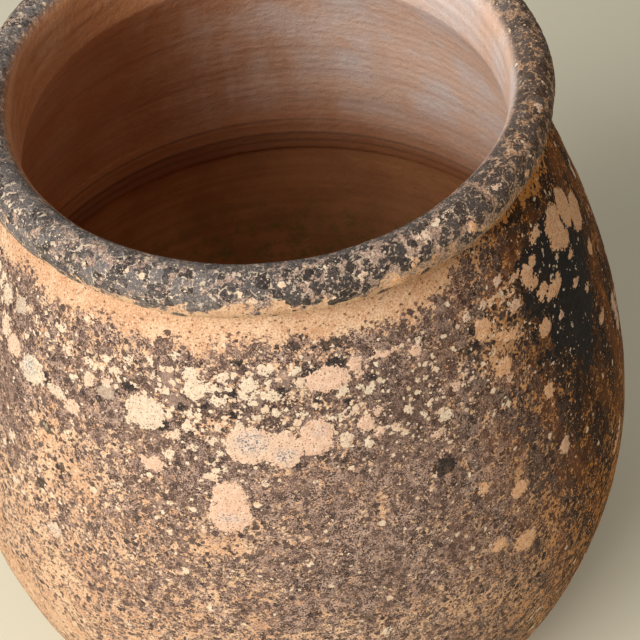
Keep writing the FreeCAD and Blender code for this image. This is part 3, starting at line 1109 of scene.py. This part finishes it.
# %% Group of fired clay
def clay_group():
    """Ochre clouds, sandy variation and dark grit."""
    tree, entry, leave = new_group("fired clay", {"Grit": 0.75}, {"Color": "Color"})
    place = object_place(tree)
    clouds = ramp(tree, noise(tree, place, 40, 4, 0.6), 0.35, 0.65)
    ochre = mix(tree, clouds, linear(212, 163, 124), linear(229, 190, 152))
    rosy = ramp(tree, noise(tree, place, 9, 4, 0.65), 0.45, 0.68, 0.0, 0.7)
    ochre = mix(tree, rosy, ochre, linear(200, 146, 108))
    sandy = noise(tree, place, 1.4, 3, 0.75)
    ochre = mix(tree, ramp(tree, sandy, 0.48, 0.66, 0.0, 0.65), ochre, linear(242, 214, 178))
    ochre = mix(tree, ramp(tree, sandy, 0.5, 0.34, 0.0, 0.65), ochre, linear(160, 110, 76))
    fine = use(tree, specks, {"Cell mm": 3.4, "Share": entry["Grit"], "Radius": 0.34, "Ragged": 0.6})
    grit_tone = mix(tree, fine["Random"], linear(92, 64, 50), linear(150, 106, 76))
    tree.links.new(mix(tree, product(tree, fine["Mask"], 0.8), ochre, grit_tone), leave["Color"])
    return tree


fired_clay = clay_group()
print("group", fired_clay.name)

# %% [markdown]
# ## The skin of weather
#
# The grey-brown film is a mosaic of tiny blots that let the clay through. Noise of two sizes is summed and
# cut at a level that follows the field `cover`: full cover leaves pinholes of ochre, thin cover leaves
# islands of young and paler film. Brown and black discs lie on it.

# %% Group of weathered film
def film_group():
    """Mask of the film and its colour: fine grains that follow the cover, with brown or black discs."""
    tree, entry, leave = new_group("weathered film", {"Cover": 0.7}, {"Mask": "Float", "Color": "Color"})
    place = object_place(tree)
    grains = noise(tree, place, 2.4, 2, 0.8)
    clusters = noise(tree, place, 8.5, 3, 0.65)
    total = maths(tree, "MULTIPLY_ADD", clusters, 0.48, product(tree, grains, 0.52))
    level = maths(tree, "MULTIPLY_ADD", entry["Cover"], -0.28, 0.645)
    film = ramp(tree, maths(tree, "SUBTRACT", total, level), -0.02, 0.025)
    dust = noise(tree, place, 1.15, 2, 0.8)
    patchy = noise(tree, place, 7, 3, 0.6)
    tones = maths(tree, "MULTIPLY_ADD", patchy, 0.35, product(tree, dust, 0.65))
    colour = mix(tree, ramp(tree, tones, 0.43, 0.59), linear(62, 48, 42), linear(200, 166, 145))
    warm = ramp(tree, noise(tree, place, 30, 3), 0.4, 0.62, 0.0, 0.4)
    colour = mix(tree, warm, colour, linear(120, 92, 77))
    present = ramp(tree, entry["Cover"], 0.08, 0.5)
    share = product(tree, present, 0.55)
    large = use(tree, specks, {"Cell mm": 6.4, "Share": share, "Radius": 0.56, "Ragged": 0.6})
    small = use(tree, specks, {"Cell mm": 3.3, "Share": share, "Radius": 0.58, "Ragged": 0.6})
    disc = larger(tree, large["Mask"], small["Mask"])
    drawn = mix(tree, large["Mask"], small["Random"], large["Random"])
    disc_tone = mix(tree, drawn, linear(38, 32, 31), linear(114, 90, 77))
    disc_tone = mix(tree, ramp(tree, dust, 0.42, 0.66, 0.0, 0.55), disc_tone, linear(146, 120, 107))
    colour = mix(tree, product(tree, disc, 0.92), colour, disc_tone)
    young = ramp(tree, entry["Cover"], 0.1, 0.45, 0.6, 0.0)
    colour = mix(tree, young, colour, linear(150, 108, 80))
    tree.links.new(larger(tree, film, disc), leave["Mask"])
    tree.links.new(colour, leave["Color"])
    return tree


weathered_film = film_group()
print("group", weathered_film.name)

# %% [markdown]
# ## Ragged edges for placed patches
#
# A field holds the distance to a smooth ellipse. Adding noise of a few millimetres before the cut gives the
# lobes and corners that a growing lichen has along its edge. A softer cut of the same distance shades a
# patch's heart.

# %% Group of ragged patches
def patch_group():
    """Mask of a patch from its distance field: noise makes lobes, small cells with steps make corners."""
    names = {"Distance mm": -10.0, "Lobes mm": 3.0, "Lobe size mm": 7.0, "Corners mm": 1.5}
    tree, entry, leave = new_group("ragged patch", names, {"Mask": "Float", "Soft": "Float"})
    place = object_place(tree)
    scale = maths(tree, "DIVIDE", MM_PER_METRE, entry["Lobe size mm"])
    lobe_values = {"Vector": place, "Scale": scale, "Detail": 3.0, "Roughness": 0.65}
    lobes = add(tree, "ShaderNodeTexNoise", lobe_values).outputs["Fac"]
    cells = add(tree, "ShaderNodeTexVoronoi", {"Vector": place, "Scale": product(tree, scale, 2.4)})
    step = add(tree, "ShaderNodeSeparateColor", {"Color": cells.outputs["Color"]}).outputs["Red"]
    shift = product(tree, maths(tree, "SUBTRACT", lobes, 0.5), entry["Lobes mm"])
    shift = product(tree, shift, 4.0)
    corner = product(tree, maths(tree, "SUBTRACT", step, 0.5), entry["Corners mm"])
    distance = maths(tree, "ADD", entry["Distance mm"], maths(tree, "MULTIPLY_ADD", corner, 2.0, shift))
    tree.links.new(ramp(tree, distance, -0.25, 0.25), leave["Mask"])
    tree.links.new(ramp(tree, distance, -4.0, 4.0), leave["Soft"])
    return tree


ragged_patch = patch_group()
print("group", ragged_patch.name)

# %% [markdown]
# ## Rings of the wheel
#
# Inside, fingers drew the clay up in a slow spiral. Noise stretched along the turn and squeezed along the
# height gives such streaks: many sizes at once, none of them quite level.

# %% Group of wheel rings
def ring_group():
    """Streaks round the axis, as a shade from 0 to 1."""
    tree, _, leave = new_group("wheel rings", {}, {"Shade": "Float"})
    place = object_place(tree)
    squeezed = add(tree, "ShaderNodeMapping", {"Vector": place, "Scale": (2.4, 2.4, 95.0)})
    streaks = add(tree, "ShaderNodeTexNoise", {"Vector": squeezed.outputs[0], "Scale": 1.0, "Detail": 5.0})
    tree.links.new(ramp(tree, streaks.outputs["Fac"], 0.38, 0.72), leave["Shade"])
    return tree


wheel_rings = ring_group()
print("group", wheel_rings.name)

# %% [markdown]
# ## The inside
#
# The inside was never rained on. It is smooth brown clay with the rings showing as faint streaks. A pale
# bloom lies where the lamp reaches, partly dust and partly painted light. Painted shade darkens a band and a
# few lines just above the seam, and below the seam the clay is a darker copy, partly painted shade. Towards
# the bottom the clay turns a little green.

# %% Group of inside clay
# Painted shade: dark lines at the ledges just above the seam, as rise and strength.
PAINTED_SEAM_SHADOWS = ((12 * MM, 0.35), (24 * MM, 0.5), (46 * MM, 0.4))


def inside_group():
    """Inside: brown clay, a bloom of dust and painted light, painted shade at the seam, green stains near the
    floor.
    """
    names = {"Seam": seam_height, "Bloom": 0.0}
    tree, entry, leave = new_group("inside clay", names, {"Color": "Color"})
    place = object_place(tree)
    rings = use(tree, wheel_rings)["Shade"]
    height = add(tree, "ShaderNodeSeparateXYZ", {"Vector": place}).outputs["Z"]
    clouds = ramp(tree, noise(tree, place, 60, 3), 0.35, 0.65)

    def level(rise):
        """A height counted from the seam."""
        return maths(tree, "ADD", entry["Seam"], rise)

    upper = mix(tree, clouds, linear(195, 125, 72), linear(205, 140, 87))
    upper = mix(tree, product(tree, rings, 0.3), upper, linear(146, 84, 46))
    # Painted shade: a darker band just above the seam.
    painted_shade_band = ramp(tree, height, level(1.4 * MM), level(59.4 * MM), 0.8, 0.0)
    upper = mix(tree, painted_shade_band, upper, linear(140, 88, 58))
    for rise, strength in PAINTED_SEAM_SHADOWS:
        off = maths(tree, "ABSOLUTE", maths(tree, "SUBTRACT", height, level(rise)))
        upper = mix(tree, ramp(tree, off, 0.8 * MM, 3.5 * MM, strength, 0.0), upper, linear(84, 48, 28))
    # Painted light, partly dust: the pale bloom on the wall that the lamp reaches.
    dust_and_light = mix(tree, clouds, linear(236, 198, 172), linear(232, 212, 200))
    dust_and_light = mix(tree, product(tree, rings, 0.22), dust_and_light, linear(190, 146, 120))
    upper = mix(tree, entry["Bloom"], upper, dust_and_light)

    # Below the seam a darker copy of the clay: partly painted shade of the deep inside.
    lower = mix(tree, clouds, linear(171, 108, 60), linear(189, 124, 71))
    lower = mix(tree, product(tree, rings, 0.35), lower, linear(134, 76, 40))
    lower = mix(tree, entry["Bloom"], lower, linear(136, 104, 86))
    mould = ramp(tree, noise(tree, place, 18, 5, 0.75), 0.40, 0.68)
    deep = ramp(tree, height, level(-50 * MM), level(-140 * MM), 0.0, 0.85)
    lower = mix(tree, product(tree, mould, deep), lower, linear(110, 100, 50))

    colour = mix(tree, ramp(tree, height, level(-MM), level(3 * MM)), lower, upper)
    sandy = noise(tree, place, 2.0, 2, 0.65)
    colour = mix(tree, ramp(tree, sandy, 0.5, 0.75, 0.0, 0.25), colour, linear(110, 66, 44))
    tree.links.new(colour, leave["Color"])
    return tree


inside_clay = inside_group()
print("group", inside_clay.name)

# %% [markdown]
# ## Lichen
#
# Pale crusts are matt and powdery: cream, peach or tan by `pale_tone`, and greyer below 0, with tiny dark
# fruiting dots, and a bluish grey heart in the oldest ones. Small crumbs of the same stuff are strewn between
# the large rosettes.

# %% Group of lichen
def lichen_group():
    """Mask and colour of all pale lichen: placed rosettes and strewn crumbs."""
    names = {"Distance mm": -10.0, "Tone": 0.0, "Core mm": -10.0, "Crumbs": 0.3}
    tree, entry, leave = new_group("pale lichen", names, {"Mask": "Float", "Color": "Color"})
    place = object_place(tree)
    rosette = use(tree, ragged_patch, {
        "Distance mm": entry["Distance mm"], "Lobes mm": 2.2, "Lobe size mm": 6.0, "Corners mm": 1.5,
    })
    crumb_share = maths(tree, "MULTIPLY_ADD", entry["Crumbs"], 0.5, 0.02)
    large = use(tree, specks, {"Cell mm": 7.0, "Share": crumb_share, "Radius": 0.5, "Ragged": 0.8})
    small = use(tree, specks, {"Cell mm": 3.8, "Share": crumb_share, "Radius": 0.5, "Ragged": 0.8})
    tiny = use(tree, specks, {"Cell mm": 2.6, "Share": 0.10, "Radius": 0.36, "Ragged": 0.6})
    strewn_mask = larger(tree, larger(tree, large["Mask"], small["Mask"]), tiny["Mask"])
    mask = larger(tree, rosette["Mask"], strewn_mask)
    peach = ramp(tree, entry["Tone"], 0.05, 0.5)
    tan = ramp(tree, entry["Tone"], 0.55, 0.78)
    sage = ramp(tree, entry["Tone"], 0.0, -1.0)
    colour = mix(tree, peach, linear(228, 206, 176), linear(230, 188, 158))
    colour = mix(tree, tan, colour, linear(234, 174, 124))
    colour = mix(tree, sage, colour, linear(172, 150, 130))
    crumb_tone = mix(tree, small["Random"], linear(236, 216, 186), linear(226, 188, 150))
    colour = mix(tree, rosette["Mask"], crumb_tone, colour)
    cloudy = noise(tree, place, 4.5, 3, 0.6)
    colour = mix(tree, ramp(tree, cloudy, 0.48, 0.66, 0.0, 0.35), colour, linear(194, 156, 126))
    colour = mix(tree, ramp(tree, cloudy, 0.5, 0.34, 0.0, 0.4), colour, linear(238, 216, 186))
    powder = noise(tree, place, 1.3, 3, 0.8)
    colour = mix(tree, ramp(tree, powder, 0.52, 0.68, 0.0, 0.7), colour, linear(178, 138, 106))
    # Partly painted highlight: pale flecks that lighten the powdery grains.
    colour = mix(tree, ramp(tree, powder, 0.46, 0.32, 0.0, 0.6), colour, linear(228, 210, 186))
    core = use(tree, ragged_patch, {
        "Distance mm": entry["Core mm"], "Lobes mm": 2.0, "Lobe size mm": 7.0, "Corners mm": 1.0,
    })
    stipple = use(tree, specks, {"Cell mm": 1.7, "Share": 1.0, "Radius": 0.62, "Ragged": 1.2})
    core_dark = product(tree, stipple["Mask"], core["Soft"])
    colour = mix(tree, product(tree, core["Soft"], 0.25), colour, linear(210, 200, 190))
    colour = mix(tree, product(tree, core_dark, 0.95), colour, linear(116, 116, 120))
    dots = use(tree, specks, {"Cell mm": 1.9, "Share": 0.9, "Radius": 0.40, "Ragged": 0.6})
    dotted = product(tree, product(tree, dots["Mask"], rosette["Mask"]), 0.85)
    colour = mix(tree, dotted, colour, linear(124, 92, 72))
    tree.links.new(mask, leave["Mask"])
    tree.links.new(colour, leave["Color"])
    return tree


pale_lichen = lichen_group()
print("group", pale_lichen.name)

# %% [markdown]
# ## Soot and charcoal crust
#
# Two dark growths share a look: the black film on the right shoulder and the charcoal discs on the roll. Both
# are nearly black, with a grey bloom that differs from disc to disc and with fine pale grains.

# %% Group of dark crust
def dark_group():
    """Colour of dark crust: near black, a grey bloom that differs from disc to disc, and fine pale grains."""
    tree, entry, leave = new_group("dark crust", {"Bloom": 0.5, "Random": 0.5}, {"Color": "Color"})
    place = object_place(tree)
    cloud = ramp(tree, noise(tree, place, 5, 4, 0.7), 0.36, 0.64)
    cloudy = maths(tree, "MULTIPLY_ADD", cloud, 0.45, -0.12)
    share = maths(tree, "MULTIPLY_ADD", entry["Random"], 0.95, cloudy)
    share = maths(tree, "MULTIPLY", share, entry["Bloom"], clamp=True)
    colour = mix(tree, share, linear(18, 18, 19), linear(128, 122, 120))
    grains = noise(tree, place, 1.3, 2, 0.8)
    pale = product(tree, ramp(tree, grains, 0.52, 0.64, 0.0, 0.95), entry["Bloom"])
    pale = product(tree, pale, maths(tree, "MULTIPLY_ADD", entry["Random"], 0.65, 0.42))
    colour = mix(tree, pale, colour, linear(172, 152, 138))
    tree.links.new(colour, leave["Color"])
    return tree


dark_crust = dark_group()
print("group", dark_crust.name)

# %% [markdown]
# ## Finishes
#
# Each stage now gets a finish made of those groups, laid over one another as they lie on the jar: clay, film,
# black crust, lichen, and the inside clay where the field `inner` says so. All of them are matt, with one
# bump of sand and soft dimples.

# %% What every finish needs
specular_level = 0.12


def new_material(name):
    """An empty material with its tree and its surface node, linked to an output."""
    material = bpy.data.materials.new(name)
    material.use_nodes = True
    tree = material.node_tree
    tree.nodes.clear()
    surface = tree.nodes.new("ShaderNodeBsdfPrincipled")
    output = tree.nodes.new("ShaderNodeOutputMaterial")
    tree.links.new(surface.outputs[0], output.inputs["Surface"])
    surface.inputs["Specular IOR Level"].default_value = specular_level
    return material, tree, surface


def finish_surface(tree, surface, colour, roughness, depth_mm=1.0):
    """Links colour and roughness to the surface, with a bump of sand and soft dimples in millimetres."""
    place = object_place(tree)
    height = maths(tree, "MULTIPLY_ADD", noise(tree, place, 1.8, 2, 0.7), 0.35, noise(tree, place, 7, 2))
    scaled = product(tree, height, depth_mm)
    bump = add(tree, "ShaderNodeBump", {"Strength": 1.0, "Distance": MM, "Height": scaled})
    tree.links.new(colour, surface.inputs["Base Color"])
    tree.links.new(roughness, surface.inputs["Roughness"])
    tree.links.new(bump.outputs[0], surface.inputs["Normal"])


print(f"every finish is matt, with a specular level of {specular_level}")

# %% [markdown]
# The wall carries everything: clay and film, mauve stains, the black streak with a dark haze round it, and
# lichen on top. Lichen grows on the film, so it thins out where the clay is bare. The collar is the upper end
# of the wall and shares its finish.

# %% Finish of the wall
def clay_and_film(tree, film_colour, film_mask):
    """Bare clay and film, browner and streaked on the shaded side: partly stain, partly painted warm shade.
    """
    clay = use(tree, fired_clay, {"Grit": 0.7})
    shaded_side_share = ramp(tree, field(tree, "shaded_side"), 0.0, 0.85)
    streaks = ramp(tree, field(tree, "streak"), -0.35, 0.45)
    # Painted warm shade, partly stain: clay and film turn a warmer brown on the side away from the lamp.
    browned_and_warm_shade = mix(tree, product(tree, shaded_side_share, 0.85), clay["Color"], linear(204, 130, 48))
    damp_and_warm_shade = mix(tree, streaks, linear(38, 20, 5), linear(116, 64, 15))
    film_colour = mix(tree, product(tree, shaded_side_share, 0.9), film_colour, damp_and_warm_shade)
    return mix(tree, film_mask, browned_and_warm_shade, film_colour)


def wall_finish():
    """Weathered outside and smooth inside, for the wall stages and the collar."""
    material, tree, surface = new_material("weathered_wall")
    film = use(tree, weathered_film, {"Cover": field(tree, "cover")})
    shaded = product(tree, field(tree, "crumbs"), 0.4)
    film_colour = mix(tree, shaded, film["Color"], linear(64, 50, 44))
    colour = clay_and_film(tree, film_colour, film["Mask"])
    mauve = use(tree, ragged_patch, {
        "Distance mm": field(tree, "mauve_mm"), "Lobes mm": 4.0, "Lobe size mm": 9.0,
    })
    colour = mix(tree, product(tree, mauve["Mask"], 0.55), colour, linear(160, 132, 116))
    black = use(tree, dark_crust, {"Bloom": 0.08, "Random": 0.3})
    soot_mm = product(tree, field(tree, "soot"), 12.0)
    zone = use(tree, ragged_patch, {
        "Distance mm": soot_mm, "Lobes mm": 6.0, "Lobe size mm": 14.0, "Corners mm": 3.0,
    })
    haze = ramp(tree, field(tree, "soot"), -1.2, 0.2, 0.0, 0.5)
    blob = use(tree, ragged_patch, {
        "Distance mm": field(tree, "dark_mm"), "Lobes mm": 1.4, "Lobe size mm": 5.0,
    })
    dark = larger(tree, zone["Mask"], product(tree, blob["Mask"], 0.85))
    dark = larger(tree, dark, haze)
    colour = mix(tree, product(tree, dark, 0.96), colour, black["Color"])
    lichen = use(tree, pale_lichen, {
        "Distance mm": field(tree, "pale_mm"), "Tone": field(tree, "pale_tone"),
        "Core mm": field(tree, "grey_mm"), "Crumbs": field(tree, "crumbs"),
    })
    on_film = product(tree, lichen["Mask"], ramp(tree, field(tree, "cover"), 0.1, 0.35))
    colour = mix(tree, on_film, colour, lichen["Color"])
    inside = use(tree, inside_clay, {"Bloom": field(tree, "bloom_and_light")})
    colour = mix(tree, field(tree, "inner"), colour, inside["Color"])
    roughness = ramp(tree, dark, 0.0, 1.0, 0.9, 0.72)
    finish_surface(tree, surface, colour, roughness)
    return material


weathered_wall = wall_finish()
print(f"{weathered_wall.name}: {len(weathered_wall.node_tree.nodes)} nodes")

# %% [markdown]
# The roll has charcoal discs on a pinkish ground that turns golden on the shaded right side, partly painted
# warm shade. Cream cracks and flakes lie on both, and the inner lip is worn to a dull grey. Towards the front
# right the discs are darker and the cracks fewer, which is painted shade.

# %% Finish of the rim
def rim_finish():
    """Charcoal discs with cream cracks on a pinkish ground, ochre at the lower edge, brown inside."""
    material, tree, surface = new_material("crusted_rim")
    place = object_place(tree)
    # Painted warm shade, partly stain: the ground turns golden and the clay browner on the side away from the
    # lamp.
    shaded_side_share = product(tree, field(tree, "shaded_side"), 0.85)
    mottle = ramp(tree, noise(tree, place, 1.5, 3, 0.8), 0.38, 0.62)
    ground = mix(tree, mottle, linear(96, 79, 71), linear(204, 173, 152))
    golden_and_warm_shade = mix(tree, mottle, linear(72, 50, 34), linear(208, 156, 106))
    ground = mix(tree, shaded_side_share, ground, golden_and_warm_shade)
    film = use(tree, weathered_film, {"Cover": field(tree, "cover")})
    film_colour = mix(tree, 0.75, film["Color"], ground)
    clay = use(tree, fired_clay, {"Grit": 0.8})
    browned_and_warm_shade = mix(tree, shaded_side_share, clay["Color"], linear(214, 144, 72))
    colour = mix(tree, film["Mask"], browned_and_warm_shade, film_colour)
    disc = use(tree, ragged_patch, {
        "Distance mm": field(tree, "crust_mm"), "Lobes mm": 1.3, "Lobe size mm": 4.5, "Corners mm": 0.8,
    })
    coarse = use(tree, crackle, {"Cell mm": 9.5, "Width": 0.065, "Ragged": 0.6, "Share": 0.37})
    fine = use(tree, crackle, {"Cell mm": 3.6, "Width": 0.13, "Ragged": 0.8, "Share": 0.34})
    # Painted shade: discs darker and cracks fewer towards the front right.
    right_shade_share = field(tree, "right")
    far_share = field(tree, "shaded_side")
    far_bloom = maths(tree, "MULTIPLY_ADD", far_share, 0.2, 0.62)
    disc_bloom = maths(tree, "MULTIPLY_ADD", right_shade_share, -0.5, far_bloom)
    crust = use(tree, dark_crust, {"Bloom": disc_bloom, "Random": coarse["Random"]})
    # Painted warm shade: the crust turns warmer on the far right.
    warm_shade_crust = mix(tree, product(tree, far_share, 0.3), crust["Color"], linear(96, 70, 52))
    colour = mix(tree, product(tree, disc["Mask"], 0.92), colour, warm_shade_crust)
    bits = ramp(tree, noise(tree, place, 2.4, 2, 0.7), 0.46, 0.56)
    flakes = use(tree, specks, {"Cell mm": 4.6, "Share": 0.13, "Radius": 0.42, "Ragged": 1.1})
    bits = larger(tree, product(tree, fine["Mask"], bits), flakes["Mask"])
    cracks = larger(tree, product(tree, coarse["Mask"], 0.82), bits)
    crack_tone = mix(tree, shaded_side_share, linear(226, 202, 174), linear(222, 172, 124))
    cracks = product(tree, cracks, ramp(tree, field(tree, "cover"), 0.5, 0.9, 0.2, 0.85))
    cracks = product(tree, cracks, maths(tree, "MULTIPLY_ADD", right_shade_share, -0.2, 1.0))
    colour = mix(tree, cracks, colour, crack_tone)
    lip_grey = mix(tree, mottle, linear(84, 82, 82), linear(140, 132, 126))
    lip_share = product(tree, field(tree, "lip"), ramp(tree, shaded_side_share, 0.0, 0.8, 0.42, 0.2))
    colour = mix(tree, lip_share, colour, lip_grey)
    flake = use(tree, pale_lichen, {
        "Distance mm": field(tree, "pale_mm"), "Tone": field(tree, "pale_tone"), "Crumbs": 0.0,
    })
    colour = mix(tree, flake["Mask"], colour, flake["Color"])
    inside = use(tree, inside_clay, {"Bloom": field(tree, "bloom_and_light")})
    colour = mix(tree, field(tree, "inner"), colour, inside["Color"])
    roughness = ramp(tree, disc["Mask"], 0.0, 1.0, 0.9, 0.74)
    finish_surface(tree, surface, colour, roughness)
    return material


crusted_rim = rim_finish()
print(f"{crusted_rim.name}: {len(crusted_rim.node_tree.nodes)} nodes")

# %% [markdown]
# The last two finishes are plain: the coil in the corner is bare inside clay, and the slab is clay stained
# with soil.

# %% Finishes of the coil and the slab
def inside_finish():
    """Smooth brown clay for the coil in the corner."""
    material, tree, surface = new_material("inside_clay")
    inside = use(tree, inside_clay)
    roughness = ramp(tree, noise(tree, object_place(tree), 9), 0.3, 0.7, 0.8, 0.95)
    finish_surface(tree, surface, inside["Color"], roughness, 0.5)
    return material


def foot_finish():
    """Bare clay stained with soil, and brown clay on the floor inside."""
    material, tree, surface = new_material("soiled_foot")
    place = object_place(tree)
    clay = use(tree, fired_clay, {"Grit": 0.8})
    soil = ramp(tree, noise(tree, place, 18, 4, 0.6), 0.42, 0.58, 0.15, 0.85)
    colour = mix(tree, soil, clay["Color"], linear(104, 80, 62))
    inside = use(tree, inside_clay)
    colour = mix(tree, field(tree, "inner"), colour, inside["Color"])
    roughness = ramp(tree, soil, 0.0, 1.0, 0.85, 0.95)
    finish_surface(tree, surface, colour, roughness)
    return material


brown_inside = inside_finish()
soiled_foot = foot_finish()
print("finishes:", ", ".join(m.name for m in (weathered_wall, crusted_rim, brown_inside, soiled_foot)))

# %% [markdown]
# ## Dressing the frame
#
# Every stage stands for its solid: the solid is hidden, and the dressed stage rides on the same body.

# %% Ride and replace
dress = {
    "base_slab": (soiled_foot, "terracotta_foot"),
    "corner_coil": (brown_inside, "terracotta_inside"),
    "neck_collar": (weathered_wall, "terracotta_neck"),
    "rim_roll": (crusted_rim, "terracotta_rim"),
}
for name, piece in pieces.items():
    material, slot_name = dress.get(name, (weathered_wall, "terracotta_wall"))
    piece.data.materials.append(material)
    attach(piece, "root")
    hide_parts(name)
print(f"{len(pieces)} stages dressed")

# %% [markdown]
# ## Floor and light
#
# A plain pale floor takes the shadow. One broad lamp stands to the left of the camera and above it, as the
# daylight does in the photo: it lights the left shoulder, leaves the right side dim and reaches the right
# wall inside the mouth. A weak lamp overhead and the world fill the shadows softly.

# %% Floor, lamps and world
floor_half = 6.0
floor_mesh = bpy.data.meshes.new("floor")
floor_corners = [(x * floor_half, y * floor_half, 0) for x, y in ((-1, -1), (1, -1), (1, 1), (-1, 1))]
floor_mesh.from_pydata(floor_corners, [], [(0, 1, 2, 3)])
floor = bpy.data.objects.new("floor", floor_mesh)
bpy.context.scene.collection.objects.link(floor)
floor_material, _, floor_surface = new_material("pale_floor")
floor_surface.inputs["Base Color"].default_value = linear(236, 228, 202)
floor_surface.inputs["Roughness"].default_value = 0.9
floor_mesh.materials.append(floor_material)


def lamp(name, place, aim, size, power):
    """A square area lamp at a place, turned towards a point."""
    data = bpy.data.lights.new(name, "AREA")
    data.size = size
    data.energy = power
    lamp_object = bpy.data.objects.new(name, data)
    lamp_object.location = place
    lamp_object.rotation_euler = (Vector(aim) - Vector(place)).to_track_quat("-Z", "Y").to_euler()
    bpy.context.scene.collection.objects.link(lamp_object)


lamp("key", place=(-2.0, -2.0, 2.9), aim=(0, 0, 0.65), size=2.0, power=145)
lamp("overhead", place=(0.2, -0.9, 3.7), aim=(0, 0, 0.5), size=1.6, power=13)
world = bpy.data.worlds.new("soft_sky")
world.use_nodes = True
background = world.node_tree.nodes["Background"]
background.inputs["Color"].default_value = (1.0, 0.97, 0.93, 1.0)
background.inputs["Strength"].default_value = 0.24
bpy.context.scene.world = world
bpy.context.scene.view_settings.view_transform = "Standard"
print("two lamps and a soft sky")
